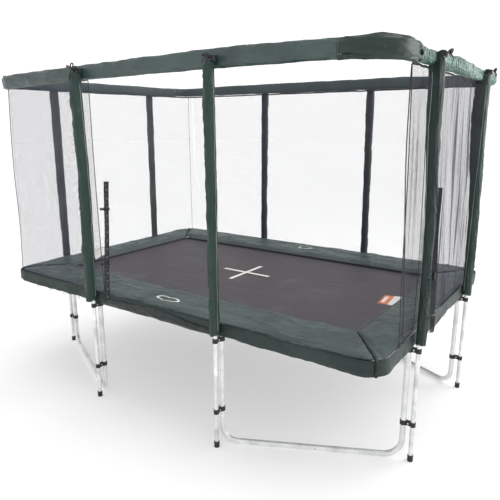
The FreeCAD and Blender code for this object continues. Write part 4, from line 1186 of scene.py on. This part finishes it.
door = net("door_net_panel", "door_net", ("right", DOOR_HINGE), ("right", DOOR_FREE), 580, 0.016, -0.05,
           0.045, pitch=0.006, slack=1.3, low=DOOR_LOW, body="door", cloth=net_gathered,
           ropes=((0.0, 0.0034, 0.05), (0.72, 0.0024, -0.06), (0.84, 0.002, 0.02), (1.0, 0.003, 0.0)))
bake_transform(door)

# the drawn-back front net leaves a bunched hem along the skirt between its strap and the next pole
HEM_START, HEM_LENGTH = -0.57, 1.21
run = np.linspace(HEM_START, HEM_START + HEM_LENGTH, 300)
s, across = run[:, None], np.linspace(0, 1, 19)
fade = np.sin(PI * np.clip((s - HEM_START) / HEM_LENGTH, 0, 1)) ** 0.35
depth = 0.028 + 0.040 * fade + 0.014 * folds(s * 4, 0.5, 606) * fade
level = SKIRT_LOW + 0.001 + 0.007 * folds(s * 5, 0.3, 610) * fade + depth * across
round_out = 0.014 * np.sin(PI * across) ** 0.6 * (0.7 + 0.3 * folds(s * 6, 2.3, 612))
crumple = 0.008 * creases(s * 7 + across * 0.8, across * 2.6 - s * 3, 614)
crumple = (crumple + 0.004 * folds(s * 18, across * 3, 616)) * np.sin(PI * across) ** 0.4
hem = Shape()
hem.surface(on_side("front", s, PAD_OUT_Y + 0.009 + round_out + crumple, level),
            metres(run, across * 0.12), 0, 0.01)
hem = solid(hem.make("net_hem_front", [net_roll]), 0.0016)
attach(hem, "frame")

# ---------------------------------------------------------------- straps


def strap(name, node, side, path, out, body, turn, eyelets=0.0, width=0.034):
    """A webbing strap hung from path: places along the side and heights. eyelets is the distance
    from one eyelet to the next, where it has them."""
    shape = Shape()
    t = np.linspace(0, 1, 90)
    along, z = (np.interp(t, np.linspace(0, 1, len(path)), column) for column in zip(*path))
    lines = np.linspace(-width / 2, width / 2, 7)
    bow, spin = (out + 0.002 * np.sin(t * 9 + 1))[:, None], (turn + 0.25 * np.sin(t * 5))[:, None]
    for face in (1, -1):
        grid = on_side(side, along[:, None] + lines * np.cos(spin) * face,
                       bow + lines * np.sin(spin) * face + face * 0.0013, z[:, None])
        shape.surface(grid, metres(t * abs(z[-1] - z[0]), lines), 0, width / 2 - np.abs(lines))
    if eyelets:
        angle = full_turn(14)
        for k, level in enumerate(np.arange(z.min() + 0.03, z.max() - 0.02, eyelets)):
            place = np.interp(level, z[::-1], along[::-1]) + 0.006 * (1 if k % 2 else -1)
            for rim in (0.004, -0.004):
                ring = on_side(side, place + 0.006 * np.cos(angle), out + rim, level + 0.009 * np.sin(angle))
                shape.tube(ring, 0.0026, 5, 1, closed=True)
    attach(shape.make(name, [tape_black, eyelet_grey]), body, node)


STRAP_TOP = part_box("entry_strap")[1].z
strap("entry_strap_webbing", "entry_strap", "front",
      [(-0.424, STRAP_TOP + 0.03), (-0.468, 1.36), (-0.506, 0.868)],
      NET_Y + 0.006, "frame", -0.6, eyelets=0.034, width=0.038)
pins = Shape()
for level, place in ((1.665, -0.443), (1.215, -0.482)):
    t = np.linspace(-1, 1, 33)
    profile = 1 - 0.3 * (np.abs(np.abs(t) - 0.45) < 0.12)
    profile = 0.0112 * profile * np.sqrt(np.clip(1 - np.abs(t) ** 8, 0.05, 1)) + 0.003 * (np.abs(t) < 0.2)
    pins.tube(on_side("front", place + t * 0.033, NET_Y + 0.022 - t * 0.0225, level), profile, 10)
    pins.tube(on_side("front", place, NET_Y + np.linspace(0.007, 0.02, 5), level), 0.0045, 6)
attach(pins.make("entry_strap_pins", [plastic]), "frame")

strap("door_strap_webbing", "door_strap", "right",
      [(-0.396, 1.90), (-0.395, 1.717), (-0.380, 1.54), (-0.348, 1.278), (-0.305, DOOR_LOW)],
      NET_X + 0.0105, "door", 1.1)
strap("door_strap_anchor", "", "right", [(-0.300, 0.968), (-0.285, 0.90), (-0.28, 0.835)],
      PAD_OUT_X + 0.014, "frame", 0.8)


def buckle(name, place):
    """A side-release buckle: a rounded body with a waist, two prongs and three ribs."""
    shape = Shape()
    cy, cz = place
    t = np.linspace(0, 2 * PI, 41)
    wide, tall = squared(np.cos(t), 0.5), squared(np.sin(t), 0.5)
    outline_y, outline_z = 0.021 * wide * (1 - 0.16 * np.exp(-(tall / 0.4) ** 2)), 0.030 * tall
    depth = np.array([0.0, 0.002, 0.009, 0.012])
    size = np.array([[0.9], [1.0], [1.0], [0.86]])
    grid = on_side("right", cy + outline_y * size, NET_X + 0.0095 + depth[:, None], cz + outline_z * size)
    index = shape.surface(grid, metres(depth, t * 0.02), close_columns=True)
    shape.close(index)
    for sign in (-1, 1):
        prong = on_side("right", cy + sign * np.array([0.012, 0.019, 0.0235, 0.021]), NET_X + 0.0155,
                        cz + np.array([0.026, 0.014, 0.0, -0.014]))
        shape.tube(prong, [0.003, 0.0036, 0.0042, 0.0034], 8)
    for level in (-0.018, 0.0, 0.018):
        rib = on_side("right", cy + np.linspace(-0.014, 0.014, 5), NET_X + 0.0212, cz + level)
        shape.tube(rib, 0.0016, 6)
    attach(shape.make(name, [plastic]), "door", "door_buckle")


buckle("door_buckle_body", (-0.346, 1.278))
